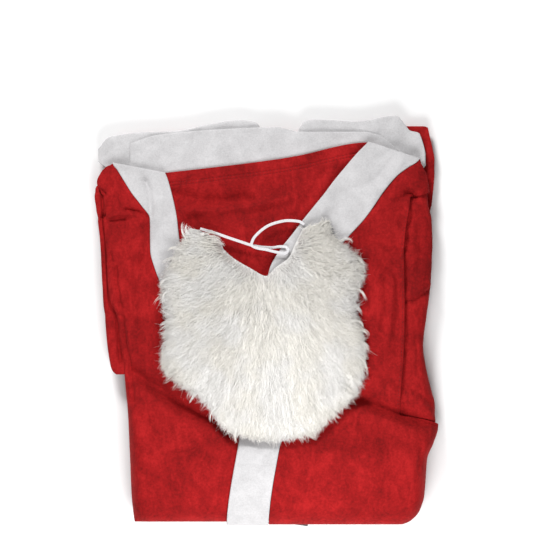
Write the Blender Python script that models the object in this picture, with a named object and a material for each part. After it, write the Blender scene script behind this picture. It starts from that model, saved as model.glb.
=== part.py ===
"""A costume suit folded for storage: jacket face up on folded layers, with its beard on top.

Sizes below are in millimetres, seen from above with the neck end towards +Y, and z = 0 is the surface
that the suit lies on. place() puts cloth on the pile: its x and y run over the top and on round the
side and bottom folds, and its depth is how far the cloth lies under the outermost layer.
"""

import math

import bmesh
import bpy
from mathutils import Vector

MM = 0.001

# Driving dimensions
CLOTH = 1.5  # wall of the red cloth
TRIM = 2.3  # wall of the white trims
BACKING = 1.2  # woven back of the beard
GAP = 0.5  # clearance between two layers
SEAM = 0.6  # clearance between two pieces side by side
SIDE_RADIUS = 14.0  # roll of the side folds
SIDE_DROP = 3.0  # how much lower the cloth lies at the sides than in the middle
HALF_WIDTH = 160.0  # distance from the middle to the sides
CHEST = (130.0, 90.0)  # y where the sides begin to lie lower, and where they do fully
SHOULDER = 9.0  # how much lower the shoulders start at the sides than beside the neck
SHOULDER_REACH = 9.0  # how far down that slope fades
SHOULDER_LOW = 135.0  # above this y the cloth turns less far over the sides
FOLD_RADIUS = 24.0  # roll of the bottom fold
BOTTOM = -204.5  # y of the bottom fold
FLOOR = 12.5  # lowest height of the cloth tucked round a fold
SLAB_TOP = 8.2  # top of the two folded layers at the very bottom
ELASTIC_RADIUS = 1.0
BELT = (40.0, 18.0, 2.4)  # width, length and thickness of the folded belt that looks out
BELT_CORNER = (38.5, -206.3)
BELT_TURN = math.radians(-7.6)
BELT_LOW = 8.6
BELT_ROUND = 0.6  # rounding of its edges

# Degrees that the cloth turns over the sides
TURN_FREE = 122.0
TURN_SHOULDER = 84.0
TURN_IN_CORNER = 90.0  # in the corner of the side fold and the bottom fold
TURN_ON_SLEEVE = 62.0
TURN_SLEEVE = 125.0

# Where the cloth changes from one way to lie to another. Each is a pair of y
ALWAYS_FREE = (400.0, 300.0)
LEFT_FREE = (-46.0, -66.0)  # below the left sleeve the front turns over the side
RIGHT_CAP = (128.0, 116.0)  # from the shoulder to the right sleeve's seam
RIGHT_WAIST = (-106.0, -94.0)  # from the waist to the seam
UNDER_CAP = (104.0, 116.0)  # the sleeve goes in under the shoulder
UNDER_WAIST = (-79.0, -94.0)  # the sleeve goes in under the waist
UNDER_SEAM = 11.0  # how far the sleeve goes in under the front along its seam

# Depths of the layers under the outermost cloth
DEPTH_RIGHT = 0.0
DEPTH_RIGHT_TRIM = -0.8
DEPTH_RIGHT_SLEEVE = DEPTH_RIGHT + CLOTH + 2 * GAP
DEPTH_LEFT_TRIM = DEPTH_RIGHT + CLOTH + GAP
DEPTH_LEFT = DEPTH_LEFT_TRIM + 0.8
DEPTH_BACK = DEPTH_LEFT + CLOTH + GAP
DEPTH_CORE = DEPTH_BACK + CLOTH + GAP
DEPTH_BEARD = DEPTH_RIGHT_TRIM - GAP

# Outline of the pile. Columns: y, left edge of the front, left edge of the sleeve, right edge
OUTLINE = (
    (159, -157.5, -157.5, 155.5),
    (150, -164, -168, 160),
    (136, -166, -174, 163),
    (102, -166, -171, 165.5),
    (76, -163.5, -168, 166.5),
    (32, -160, -165.5, 164),
    (2, -154, -163, 160),
    (-26, -149, -160.5, 157),
    (-48, -144, -157.5, 160),
    (-69, -142, -156, 165),
    (-89, -140, -150, 170.4),
    (-106, -139, -150, 172),
    (-122, -138.3, -150, 167.5),
    (-138, -137.5, -150, 161),
    (-175, -136, -150, 158),
    (-190, -134.5, -150, 153.5),
    (-201, -133, -150, 144),
    (-206, -130, -150, 132),
)

# Height of the outermost layer along the middle. Columns: y, height
CROWN = (
    (206, 24.2),
    (150, 24.4),
    (102, 29),
    (50, 32),
    (0, 34),
    (-50, 37),
    (-95, 42),
    (-140, 49),
    (-206, 46),
)

# Points of the fold across the waist
WAIST = ((-150, -50), (-126, -57), (-89, -82), (-38, -111), (20, -104), (83, -71), (138, -96), (176, -106))

# Large folds: how far the cloth rises, half its width, and the points that it runs through
FOLDS = (
    (-5.0, 20.0, WAIST),
    (4.0, 30.0, ((-120, -150), (-40, -158), (60, -150), (140, -146))),
    (-1.2, 20.0, ((-165, 106), (-128, 106))),
    (1.2, 22.0, ((-120, 60), (-118, 0))),
    (2.5, 20.0, ((110, 20), (112, -40))),
)

# Front edge of each half. Columns: y, outer edge of the left trim, inner edge of the left trim
LEFT_TRIM = (
    (159, -155, -112),
    (149, -149, -102.5),
    (121, -131, -94),
    (104, -117.6, -90.5),
    (76, -117.5, -87),
    (32, -104.3, -70),
    (-34, -67, -31),
    (-89, -33, 3),
    (-109, -24, 13),
    (-150, -19, 18),
    (-260, -19, 18),
)
# Columns: y, inner edge of the right trim, outer edge of the right trim
RIGHT_TRIM = (
    (180, 102, 160),
    (166.5, 87.8, 156),
    (146, 71, 131),
    (131, 60, 118),
    (105, 39, 100),
    (76, 17, 74.5),
    (60, 5, 64),
    (47.4, 1.5, 57),
    (-30, -11.5, 37),
    (-116, -27.4, 14.4),
    (-206, -40.3, 1.5),
    (-260, -41, 1),
)
# Slanted rows of the two trims over the shoulders.
# Columns: x and y at the neck, y at the outer edge
LEFT_TRIM_TOP = ((-102.5, 149, 159), (-101.4, 146.5, 154), (-100.2, 143.5, 147))
RIGHT_TRIM_TOP = ((102, 180, 163), (96.5, 174.5, 158), (91, 169, 154), (79, 155, 147))
# Seam of the right sleeve. Columns: y, x
RIGHT_ARMHOLE = ((160, 148), (121, 143.6), (70, 137.5), (21, 138), (-19, 137.5), (-92, 133), (-110, 133))

# Rows of the fronts and trims: y down the front, then how far they have turned round the bottom fold
LEFT_SHOULDER_ROWS = (154, 147)
RIGHT_SHOULDER_ROWS = (163, 158, 154, 147)
# More rows where the right front leaves and meets its side fold
CAP_ROWS = (126, 124, 122, 120, 118, -96.5, -99, -101, -103.5, -106)
SHARED_ROWS = (140, 128, 116, 102, 87, 70, 52, 34, 16, -2, -20, -36, -50, -64, -79, -94, -102, -110, -120)
LOWER_ROWS = (-133, -148, -164, -180)
FOLD_ANGLES = (20, 42, 64, 86, 108)
# Columns of a front, closer on the side fold
FRONT_COLUMNS = (0, 0.04, 0.08, 0.13, 0.2, 0.3, 0.45, 0.62, 0.8, 1)

# Lowest and highest row of the right sleeve, and first and last row of the left one
RIGHT_SLEEVE_ROWS = (-103, 130)
LEFT_SLEEVE_ROWS = (148, -54)
LEFT_SLEEVE_GAP = 0.6  # clearance between it and the front
LEFT_SLEEVE_ROLL = 4.5  # radius of its outer fold
LEFT_SLEEVE_IN = 4.0  # how far it goes in under the front
LEFT_SLEEVE_ANGLES = (0, 30, 60, 90, 120, 150)

# Top edge of the back neck. Columns: x, y
BACK_NECK = (
    (-160, 143),
    (-102, 149),
    (3, 161.6),
    (33, 166.5),
    (88, 178.6),
    (101, 179.5),
    (110, 172),
    (135, 160),
)
BACK_LOW = -10.0
BACK_WIDTH = (-128, 135)
BACK_COLUMNS = (0, 0.15, 0.3, 0.45, 0.6, 0.72, 0.82, 0.9, 0.96, 1)

# White band behind the neck and the two trouser cuffs. Columns: x, lower edge, upper edge
NECK_BAND = (
    (-138, 141, 178),
    (-110, 140, 187),
    (-20, 140, 193.5),
    (30, 140, 193.5),
    (96, 142, 192.5),
    (112, 142, 187),
    (126, 142, 177),
    (138, 142, 168),
)
CUFF_LEFT = (
    (-170, 160, 173),
    (-159, 152, 185),
    (-129, 150, 189.5),
    (-92, 150, 191),
    (-62, 150, 197),
    (-28, 150, 202),
)
CUFF_RIGHT = (
    (38, 150, 201),
    (88, 150, 200.4),
    (130, 150, 206.5),
    (139.5, 150, 197),
    (144, 150, 191.5),
    (153, 151, 189.2),
    (157, 153, 179.5),
    (159.8, 156, 168),
)
# Trouser leg behind them, in the same columns
LEG = (
    (-158, 138, 168),
    (-120, 136, 184),
    (-20, 134, 190),
    (100, 134, 194),
    (141, 134, 196),
    (151, 134, 196),
    (157, 112, 196),
    (162, 108, 195),
    (165, 110, 182),
    (167, 124, 174),
    (169, 144, 164),
)
LEG_LEVEL = 150.0  # below this y the leg lies as high as it does here
CUFF = 4.0  # a cuff folded double
BAND_STEP = 18.0  # between two columns of a band

# Lower layers, from the ground up.
# Columns: height, inset at the sides, inset at the bottom fold, y of the neck end
SLAB_RINGS = (
    (0.0, 7.0, 9.0, 174),
    (1.4, 4.2, 5.5, 178),
    (3.2, 4.6, 6.0, 178),
    (4.1, 8.0, 9.0, 173),
    (5.0, 4.4, 4.5, 181),
    (6.9, 4.0, 4.0, 182),
    (SLAB_TOP, 8.0, 7.5, 178),
    (SLAB_TOP, 9.5, 24.0, 126),
    (SLAB_TOP + 4.0, 9.5, 24.0, 126),
)
CORNER = 5.0  # cut off the layers' corners
CORE_ANGLES = (118, 95, 70, 48, 26, 6)
CORE_END = 146.0  # y of the core's neck end
LAYERS_RIGHT = 161.0  # the layers under the jacket reach no further right than this
CORE_SCALES = (0.9, 0.78, 0.65, 0.51, 0.37, 0.22)
CORE_SLACK = 1.5  # extra depth of the core's top, so that the cloth bridges its hollows
WELD = 1e-7  # in metres, joins the two ends of each ring

# Beard, outline from the left ear round to the right ear. Columns: place along it, x, y
BEARD_INNER = (
    (0, -68, 91),
    (0.1, -46, 79.5),
    (0.16, -44, 73),
    (0.25, -35, 64),
    (0.37, -17, 53),
    (0.5, -1, 45),
    (0.62, 8, 53),
    (0.74, 22, 64),
    (0.84, 28, 77),
    (1, 36, 93),
)
BEARD_OUTER = (
    (0, -77.4, 93),
    (0.06, -86, 77),
    (0.12, -102, 48),
    (0.18, -105.5, 30),
    (0.26, -101, 0),
    (0.32, -105, -42),
    (0.37, -89, -62),
    (0.42, -64, -79),
    (0.46, -36, -111),
    (0.5, 4, -118),
    (0.54, 40, -114),
    (0.59, 72, -88),
    (0.64, 92, -68),
    (0.7, 98, -30),
    (0.78, 89, 14),
    (0.85, 97, 52),
    (0.92, 82, 72),
    (0.96, 66, 84),
    (1, 60.5, 100.5),
)
BEARD_COLUMNS = 30
# How much of the fur stands up from the ear side to the tips. Columns: place, height
FUR_HEIGHT = ((0, 6), (0.15, 11), (0.45, 14), (0.75, 12), (0.92, 7), (1, 3.5))
EAR_DROP = 0.45  # share by which the fur is lower at the ears
EAR_LENGTH = 0.05  # place along the beard over which it gets that low
BACKING_INSET = 0.015  # share by which it ends short of the ears
BACKING_REACH = 0.9  # the backing ends short of the fur's tips

# Route of the beard's elastic. Columns: x, y, height over the trims
ELASTIC = (
    (-66.9, 92.2, 2.2),
    (-52.0, 88.0, 1.6),
    (-39.0, 83.5, 1.1),
    (-27.0, 79.5, 0.8),
    (-15.0, 75.7, 0.5),
    (-5.0, 73.9, 0.4),
    (5.0, 73.4, 0.4),
    (13.0, 74.4, 0.4),
    (18.6, 74.2, 1.0),
    (21.0, 70.6, 2.0),
    (17.5, 67.6, 2.9),
    (9.0, 69.0, 3.3),
    (-1.0, 71.4, 3.4),
    (-10.0, 73.0, 3.4),
    (-15.6, 76.4, 3.4),
    (-14.0, 81.5, 3.0),
    (-6.5, 90.0, 2.2),
    (5.0, 97.0, 1.6),
    (21.0, 100.5, 1.6),
    (32.0, 99.6, 2.0),
    (37.2, 96.4, 2.4),
)
ELASTIC_POINTS = 78


def smooth(table, column):
    """A curve through one column of a table, against its first column, that never overshoots."""
    rows = sorted(table)
    at = [row[0] for row in rows]
    value = [row[column] for row in rows]
    rise = [(value[i + 1] - value[i]) / (at[i + 1] - at[i]) for i in range(len(rows) - 1)]
    slope = [rise[0]]
    for before, after in zip(rise, rise[1:]):
        slope.append(2 * before * after / (before + after) if before * after > 0 else 0.0)
    slope.append(rise[-1])

    def curve(t):
        t = min(max(t, at[0]), at[-1])
        i = max(k for k in range(len(rise)) if at[k] <= t)
        span = at[i + 1] - at[i]
        p = (t - at[i]) / span
        return (
            value[i] * (1 + 2 * p) * (1 - p) ** 2
            + value[i + 1] * p * p * (3 - 2 * p)
            + span * (slope[i] * p * (1 - p) ** 2 - slope[i + 1] * p * p * (1 - p))
        )

    return curve


left_edge = smooth(OUTLINE, 1)
left_sleeve_edge = smooth(OUTLINE, 2)
right_edge = smooth(OUTLINE, 3)
crown = smooth(CROWN, 1)


def mix(a, b, t):
    return a + (b - a) * t


def ramp(value, low, high):
    """0 at low, 1 at high, and a straight slope between them."""
    return min(max((value - low) / (high - low), 0.0), 1.0)


def distance_to_line(x, y, points):
    """How far a point lies from a line through the given points."""
    nearest = math.inf
    for (x0, y0), (x1, y1) in zip(points, points[1:]):
        along = ((x - x0) * (x1 - x0) + (y - y0) * (y1 - y0)) / ((x1 - x0) ** 2 + (y1 - y0) ** 2)
        along = ramp(along, 0.0, 1.0)
        nearest = min(nearest, math.hypot(x - mix(x0, x1, along), y - mix(y0, y1, along)))
    return nearest


def top(x, y, bridged=False):
    """Height of the outermost cloth before it turns round the edges. Bridged cloth passes over hollows."""
    middle = (left_edge(y) + right_edge(y)) / 2
    chest = ramp(y, *CHEST)
    height = crown(y) - SIDE_DROP * chest * ((x - middle) / HALF_WIDTH) ** 2
    for rise, width, points in FOLDS:
        if rise > 0 or not bridged:
            height += rise * math.exp(-((distance_to_line(x, y, points) / width) ** 2))
    return height


def side_height(y):
    """Height of the outermost point of the side folds."""
    return FLOOR + 1.0 + 0.25 * (crown(y) - FLOOR)


def roll_length(y):
    """Cloth that each radian of a side fold takes up."""
    return (SIDE_RADIUS + crown(y) - side_height(y)) / 2


def side_end(y, side, angle):
    """The x at which cloth over the side has turned through an angle."""
    reach = roll_length(y) * math.radians(angle) - SIDE_RADIUS
    return left_edge(y) - reach if side < 0 else right_edge(y) + reach


def fold_row(angle):
    """The y at which cloth over the bottom fold has turned through an angle."""
    return BOTTOM + FOLD_RADIUS - FOLD_RADIUS * math.radians(angle)


def place(x, y, depth, base=0.0):
    """Cloth at x, y on the pile, turned round the folds. base is the depth that follows the sides."""
    inset = depth - base
    turn_y = max(0.0, (BOTTOM + FOLD_RADIUS - y) / FOLD_RADIUS)
    plan_y = y if turn_y == 0.0 else BOTTOM + FOLD_RADIUS - (FOLD_RADIUS - depth) * math.sin(turn_y)
    left = left_edge(plan_y) + SIDE_RADIUS
    right = right_edge(plan_y) - SIDE_RADIUS
    turn_x = max(0.0, left - x, x - right) / roll_length(plan_y)
    plan_x = x
    if x < left:
        plan_x = left - (SIDE_RADIUS - inset) * math.sin(turn_x)
    elif x > right:
        plan_x = right + (SIDE_RADIUS - inset) * math.sin(turn_x)
    level = math.cos(turn_x) * math.cos(turn_y)
    middle = side_height(plan_y)
    if level >= 0:
        height = middle + (top(plan_x, plan_y) - depth - middle) * level
    else:
        height = middle + (middle - FLOOR) * level
    return Vector((plan_x, plan_y, height))


def start_collection(name):
    for old in list(bpy.data.objects):
        bpy.data.objects.remove(old)
    collection = bpy.data.collections.new(name)
    bpy.context.scene.collection.children.link(collection)
    return collection


def material(name, colour, roughness, sheen=0.0):
    made = bpy.data.materials.new(name)
    made.use_nodes = True
    shader = made.node_tree.nodes["Principled BSDF"]
    shader.inputs["Base Color"].default_value = (*colour, 1.0)
    shader.inputs["Roughness"].default_value = roughness
    shader.inputs["Metallic"].default_value = 0.0
    shader.inputs["Sheen Weight"].default_value = sheen
    return made


def keep(name, mesh_maker, finish):
    """Turns a bmesh into a named object in the suit's collection."""
    mesh_maker.normal_update()
    bmesh.ops.recalc_face_normals(mesh_maker, faces=mesh_maker.faces)
    if mesh_maker.calc_volume(signed=True) < 0:
        bmesh.ops.reverse_faces(mesh_maker, faces=mesh_maker.faces)
    mesh = bpy.data.meshes.new(name)
    mesh_maker.to_mesh(mesh)
    mesh_maker.free()
    made = bpy.data.objects.new(name, mesh)
    mesh.materials.append(finish)
    mesh.shade_smooth()
    SUIT.objects.link(made)
    return made


def wall(name, rows, columns, point, finish):
    """A closed wall on a grid: point(row, column, layer) in millimetres, layer 0 inside and 1 outside."""
    cloth = bmesh.new()
    bmesh.ops.create_grid(cloth, x_segments=columns - 1, y_segments=rows - 1, size=1.0)
    raised = bmesh.ops.extrude_face_region(cloth, geom=list(cloth.faces))
    for item in raised["geom"]:
        if isinstance(item, bmesh.types.BMVert):
            item.co.z = 1.0
    for vertex in cloth.verts:
        column = round((vertex.co.x + 1) / 2 * (columns - 1))
        row = round((vertex.co.y + 1) / 2 * (rows - 1))
        vertex.co = Vector(point(row, column, round(vertex.co.z))) * MM
    return keep(name, cloth, finish)


def panel(name, lines, fractions, depth, thickness, finish, base=None):
    """Cloth between two edges. lines holds for each row its start (x, y) and end (x, y) over the pile.

    base gives for each y the depth that follows the outline's sides.
    """

    def point(row, column, layer):
        (x0, y0), (x1, y1) = lines[row]
        t = fractions[column]
        x, y = mix(x0, x1, t), mix(y0, y1, t)
        return place(x, y, depth + thickness * (1 - layer), base(y) if base else depth)

    return wall(name, len(lines), len(fractions), point, finish)


def even(count):
    return [i / (count - 1) for i in range(count)]


def body_rows():
    """Rows of the fronts and trims from the chest down and round the bottom fold."""
    return [*SHARED_ROWS, *LOWER_ROWS, *(fold_row(angle) for angle in FOLD_ANGLES)]


def plan_row(y):
    """Where a row lies once it is turned round the bottom fold."""
    turn = max(0.0, (BOTTOM + FOLD_RADIUS - y) / FOLD_RADIUS)
    return y if turn == 0.0 else BOTTOM + FOLD_RADIUS - FOLD_RADIUS * math.sin(turn)


def side_angle(y, free_from, free_to):
    """How far the cloth turns over a side: less on a sleeve and in the corner of the bottom fold."""
    share = ramp(y, free_from, free_to)
    turn = max(0.0, (BOTTOM + FOLD_RADIUS - y) / FOLD_RADIUS)
    free = TURN_FREE if y < SHOULDER_LOW else TURN_SHOULDER
    return mix(TURN_ON_SLEEVE, mix(TURN_IN_CORNER, free, max(math.cos(turn), 0.0)), share)


def make_fronts():
    outer_left, outer_right = smooth(LEFT_TRIM, 1), smooth(RIGHT_TRIM, 2)
    armhole = smooth(RIGHT_ARMHOLE, 1)
    left_lines, right_lines = [], []
    for y in [*LEFT_SHOULDER_ROWS, *body_rows()]:
        low = y - SHOULDER * math.exp((y - LEFT_SHOULDER_ROWS[0]) / SHOULDER_REACH)
        start = side_end(plan_row(y), -1, side_angle(y, *LEFT_FREE))
        left_lines.append(((start, low), (outer_left(y) - SEAM, y)))
    for y in sorted({*RIGHT_SHOULDER_ROWS, *CAP_ROWS, *body_rows()}, reverse=True):
        low = y - SHOULDER * math.exp((y - RIGHT_SHOULDER_ROWS[0]) / SHOULDER_REACH)
        over_sleeve = ramp(y, *RIGHT_WAIST) * ramp(y, *RIGHT_CAP)
        end = mix(side_end(plan_row(y), 1, side_angle(y, *ALWAYS_FREE)), armhole(y), over_sleeve)
        right_lines.append(((outer_right(y) + SEAM, y), (end, low)))
    panel("jacket_front_left", left_lines, FRONT_COLUMNS, DEPTH_LEFT, CLOTH, RED)
    other = [1 - t for t in reversed(FRONT_COLUMNS)]
    panel("jacket_front_right", right_lines, other, DEPTH_RIGHT, CLOTH, RED)


def make_trims():
    columns = even(5)
    outer, inner = smooth(LEFT_TRIM, 1), smooth(LEFT_TRIM, 2)
    left = [((outer(low), low), (x, y)) for x, y, low in LEFT_TRIM_TOP]
    left += [((outer(y), y), (inner(y), y)) for y in SHARED_ROWS]
    panel("jacket_trim_left", left, columns, DEPTH_LEFT_TRIM, TRIM, WHITE)
    inner, outer = smooth(RIGHT_TRIM, 1), smooth(RIGHT_TRIM, 2)
    right = [((x, y), (outer(low), low)) for x, y, low in RIGHT_TRIM_TOP]
    right += [((inner(y), y), (outer(y), y)) for y in body_rows()]
    panel("jacket_trim_right", right, columns, DEPTH_RIGHT_TRIM, TRIM, WHITE, base=lambda y: DEPTH_RIGHT)


def make_sleeves():
    armhole = smooth(RIGHT_ARMHOLE, 1)
    low, high = RIGHT_SLEEVE_ROWS
    rows = [y for y in SHARED_ROWS if low <= y <= high]
    lines = [((armhole(y) - UNDER_SEAM, y), (side_end(y, 1, TURN_SLEEVE), y)) for y in rows]

    def under_front(y):
        return mix(DEPTH_RIGHT_SLEEVE, DEPTH_RIGHT, max(ramp(y, *UNDER_CAP), ramp(y, *UNDER_WAIST)))

    panel("jacket_sleeve_right", lines, even(9), DEPTH_RIGHT_SLEEVE, CLOTH, RED, base=under_front)

    start, end = LEFT_SLEEVE_ROWS
    rows = [start, *(y for y in SHARED_ROWS if y > end), end]

    def point(row, column, layer):
        y = rows[row]
        over = side_end(y, -1, side_angle(y, *LEFT_FREE))
        front_end = place(over, y, DEPTH_LEFT + CLOTH, DEPTH_LEFT)
        high = front_end.z - LEFT_SLEEVE_GAP - CLOTH * (1 - layer)
        radius = LEFT_SLEEVE_ROLL - CLOTH * (1 - layer)
        outside = left_sleeve_edge(y) + LEFT_SLEEVE_ROLL
        middle = mix(high, FLOOR + CLOTH * (1 - layer), 0.5)
        if column < 2:
            return (mix(left_edge(y) + LEFT_SLEEVE_IN, outside, column / 2), y, high)
        angle = math.radians(LEFT_SLEEVE_ANGLES[column - 2])
        return (outside - radius * math.sin(angle), y, middle + (high - middle) * math.cos(angle))

    wall("jacket_sleeve_left", len(rows), len(LEFT_SLEEVE_ANGLES) + 2, point, RED)


def make_neck():
    edge = smooth(BACK_NECK, 1)
    xs = sorted({*(mix(*BACK_WIDTH, t) for t in even(17)), *(x for x, _ in BACK_NECK[3:-1])})
    lines = [((x, BACK_LOW), (x, edge(x) - SEAM)) for x in xs]
    panel("jacket_back", lines, BACK_COLUMNS, DEPTH_BACK, CLOTH, RED)
    depth = DEPTH_BACK + CLOTH + GAP
    make_band("jacket_neck_trim", NECK_BAND, depth, TRIM, WHITE)
    depth += TRIM + GAP
    make_band("trouser_cuff_left", CUFF_LEFT, depth, CUFF, WHITE)
    make_band("trouser_cuff_right", CUFF_RIGHT, depth, CUFF, WHITE)
    make_band("trouser_leg", LEG, depth + CUFF + GAP, CLOTH, RED, LEG_LEVEL)


def make_band(name, table, depth, thickness, finish, level=0.0):
    """A flat band across the neck end, from a table of its edges. It lies level below the given y."""
    low, high = smooth(table, 1), smooth(table, 2)
    count = max(8, round((table[-1][0] - table[0][0]) / BAND_STEP))
    xs = sorted({*(mix(table[0][0], table[-1][0], t) for t in even(count)), *(row[0] for row in table)})
    shares = even(4)

    def point(row, column, layer):
        x = xs[column]
        y = mix(low(x), high(x), shares[row])
        return (x, y, crown(max(y, level)) - depth - thickness * (1 - layer))

    wall(name, len(shares), len(xs), point, finish)


def outline_loop(side_inset, bottom_inset, neck_end):
    """Points round the pile, anticlockwise from the left neck corner."""
    bottom = BOTTOM + bottom_inset
    ys = [mix(neck_end - CORNER, bottom + CORNER, t) for t in even(17)]
    left = [(left_edge(y) + side_inset, y) for y in ys]
    right = [(min(right_edge(y), LAYERS_RIGHT) - side_inset, y) for y in reversed(ys)]
    low = [(mix(left[-1][0] + CORNER, right[0][0] - CORNER, t), bottom) for t in even(9)]
    high = [(mix(right[-1][0] - CORNER, left[0][0] + CORNER, t), neck_end) for t in even(9)]
    return left + low + right + high


def make_layers():
    """The folded layers under the jacket as one solid, with two folded edges showing at the bottom."""
    rings = [[(x, y, z) for x, y in outline_loop(side, low, end)] for z, side, low, end in SLAB_RINGS]
    for angle in CORE_ANGLES:
        turned = math.radians(angle)
        inset = SIDE_RADIUS - (SIDE_RADIUS - DEPTH_CORE) * math.sin(turned)
        low = FOLD_RADIUS - (FOLD_RADIUS - DEPTH_CORE) * math.sin(turned)
        ring = []
        for x, y in outline_loop(inset, low, CORE_END - inset):
            middle = side_height(y)
            if angle > 90:
                z = middle + (middle - FLOOR) * math.cos(turned)
            else:
                z = middle + (top(x, y) - DEPTH_CORE - middle) * math.cos(turned)
            ring.append((x, y, z))
        rings.append(ring)
    centre_y = (BOTTOM + CORE_END) / 2
    rim = rings[-1]
    for scale in CORE_SCALES:
        flat = [(x * scale, mix(centre_y, y, scale)) for x, y, _ in rim]
        rings.append([(x, y, top(x, y) - DEPTH_CORE - CORE_SLACK) for x, y in flat])
    solid = bmesh.new()
    around, last = len(rings[0]), len(rings) - 1
    bmesh.ops.create_grid(solid, x_segments=around, y_segments=last, size=1.0)
    for vertex in solid.verts:
        column = round((vertex.co.x + 1) / 2 * around) % around
        row = round((vertex.co.y + 1) / 2 * last)
        vertex.co = Vector(rings[row][column]) * MM
    bmesh.ops.remove_doubles(solid, verts=solid.verts, dist=WELD)
    bmesh.ops.holes_fill(solid, edges=[edge for edge in solid.edges if edge.is_boundary])
    keep("folded_layers", solid, RED)


def beard_point(along, out, lift):
    """A place on the beard: along it from ear to ear, out from the mouth to the tips, lift over the trims."""
    x = mix(BEARD_X[0](along), BEARD_X[1](along), out)
    y = mix(BEARD_Y[0](along), BEARD_Y[1](along), out)
    return (x, y, top(x, y, bridged=True) - DEPTH_BEARD + lift)


def make_beard():
    fur_height = smooth(FUR_HEIGHT, 1)
    alongs = even(BEARD_COLUMNS)
    outs = [BACKING_REACH * t for t in even(8)]

    def backing(row, column, layer):
        along = min(max(alongs[column], BACKING_INSET), 1 - BACKING_INSET)
        return beard_point(along, max(outs[row], 2 * BACKING_INSET), BACKING * layer)

    wall("beard_backing", len(outs), BEARD_COLUMNS, backing, OFF_WHITE)
    outs.append(1.0)

    def fur(row, column, layer):
        end = min(alongs[column], 1 - alongs[column])
        height = fur_height(outs[row]) * (1 - EAR_DROP * math.exp(-end / EAR_LENGTH))
        return beard_point(alongs[column], outs[row], BACKING + GAP + height * layer)

    wall("beard_fur", len(outs), BEARD_COLUMNS, fur, FUR)


def make_elastic():
    """The elastic as one tube on a smooth curve through its route."""
    steps = [(i, *row) for i, row in enumerate(ELASTIC)]
    route = [smooth(steps, column) for column in (1, 2, 3)]
    curve = bpy.data.curves.new("beard_elastic", "CURVE")
    curve.dimensions = "3D"
    curve.bevel_depth = ELASTIC_RADIUS * MM
    curve.bevel_resolution = 2
    curve.use_fill_caps = True
    spline = curve.splines.new("POLY")
    spline.points.add(ELASTIC_POINTS - 1)
    for i, point in enumerate(spline.points):
        at = mix(0, len(ELASTIC) - 1, i / (ELASTIC_POINTS - 1))
        x, y, lift = (axis(at) for axis in route)
        z = top(x, y, bridged=True) - DEPTH_RIGHT_TRIM + GAP + ELASTIC_RADIUS + lift
        point.co = (x * MM, y * MM, z * MM, 1.0)
    made = bpy.data.objects.new("beard_elastic", curve)
    curve.materials.append(WHITE)
    SUIT.objects.link(made)


def make_belt():
    """A corner of the folded belt that looks out of the bottom fold."""
    strap = bmesh.new()
    bmesh.ops.create_cube(strap, size=1.0)
    bmesh.ops.scale(strap, vec=Vector(BELT) * MM, verts=strap.verts)
    bmesh.ops.bevel(
        strap,
        geom=strap.edges,
        offset=BELT_ROUND * MM,
        segments=2,
        profile=0.5,
        affect="EDGES",
        material=-1,
    )
    belt = keep("belt", strap, BLACK)
    width, length, thickness = BELT
    turned = Vector((width / 2 * math.cos(BELT_TURN) + length / 2 * math.sin(BELT_TURN),
                     width / 2 * math.sin(BELT_TURN) - length / 2 * math.cos(BELT_TURN)))
    belt.rotation_euler.z = BELT_TURN
    corner = Vector(BELT_CORNER)
    belt.location = Vector((corner.x - turned.x, corner.y - turned.y, BELT_LOW + thickness / 2)) * MM


SUIT = start_collection("santa_suit")
RED = material("red_fleece", (0.50, 0.012, 0.016), 0.9, 0.3)
WHITE = material("white_felt", (0.78, 0.76, 0.78), 0.9, 0.2)
OFF_WHITE = material("beard_back", (0.74, 0.70, 0.64), 0.9)
FUR = material("beard_pile", (0.82, 0.78, 0.72), 0.8, 0.3)
BLACK = material("belt_black", (0.012, 0.012, 0.013), 0.45)
BEARD_X = [smooth(BEARD_INNER, 1), smooth(BEARD_OUTER, 1)]
BEARD_Y = [smooth(BEARD_INNER, 2), smooth(BEARD_OUTER, 2)]

make_layers()
make_fronts()
make_trims()
make_sleeves()
make_neck()
make_beard()
make_elastic()
make_belt()
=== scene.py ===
"""Looks of the folded costume suit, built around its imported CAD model.

Sizes in the tables are in millimetres, seen from above with the neck end towards +Y, and z = 0 is the
surface that the suit lies on. place() puts cloth on the pile: its x and y run over the top and on round the
side and bottom folds, and its depth is how far the cloth lies under the outermost layer.
"""

import math

import bmesh
import bpy
import numpy as np
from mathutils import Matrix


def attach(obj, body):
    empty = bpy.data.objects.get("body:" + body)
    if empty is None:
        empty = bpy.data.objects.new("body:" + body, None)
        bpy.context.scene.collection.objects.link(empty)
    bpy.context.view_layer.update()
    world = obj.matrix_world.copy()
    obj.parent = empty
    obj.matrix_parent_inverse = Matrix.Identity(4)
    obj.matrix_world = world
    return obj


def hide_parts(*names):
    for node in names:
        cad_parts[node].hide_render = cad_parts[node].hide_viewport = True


bl_info = {
    "name": "Folded costume suit",
    "version": (1, 0, 0),
    "blender": (4, 5, 0),
    "location": "3D View > Sidebar > Suit",
    "description": "Builds the cloth, fur, elastic and belt of a folded costume suit around its CAD model",
    "category": "Object",
}

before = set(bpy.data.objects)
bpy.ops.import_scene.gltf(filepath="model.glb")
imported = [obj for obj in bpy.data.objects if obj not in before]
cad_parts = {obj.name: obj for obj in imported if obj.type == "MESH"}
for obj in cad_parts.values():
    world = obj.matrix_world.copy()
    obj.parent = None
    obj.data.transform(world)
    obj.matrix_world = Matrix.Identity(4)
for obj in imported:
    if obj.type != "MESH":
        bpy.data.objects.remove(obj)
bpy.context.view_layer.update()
MM = 0.001

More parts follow.
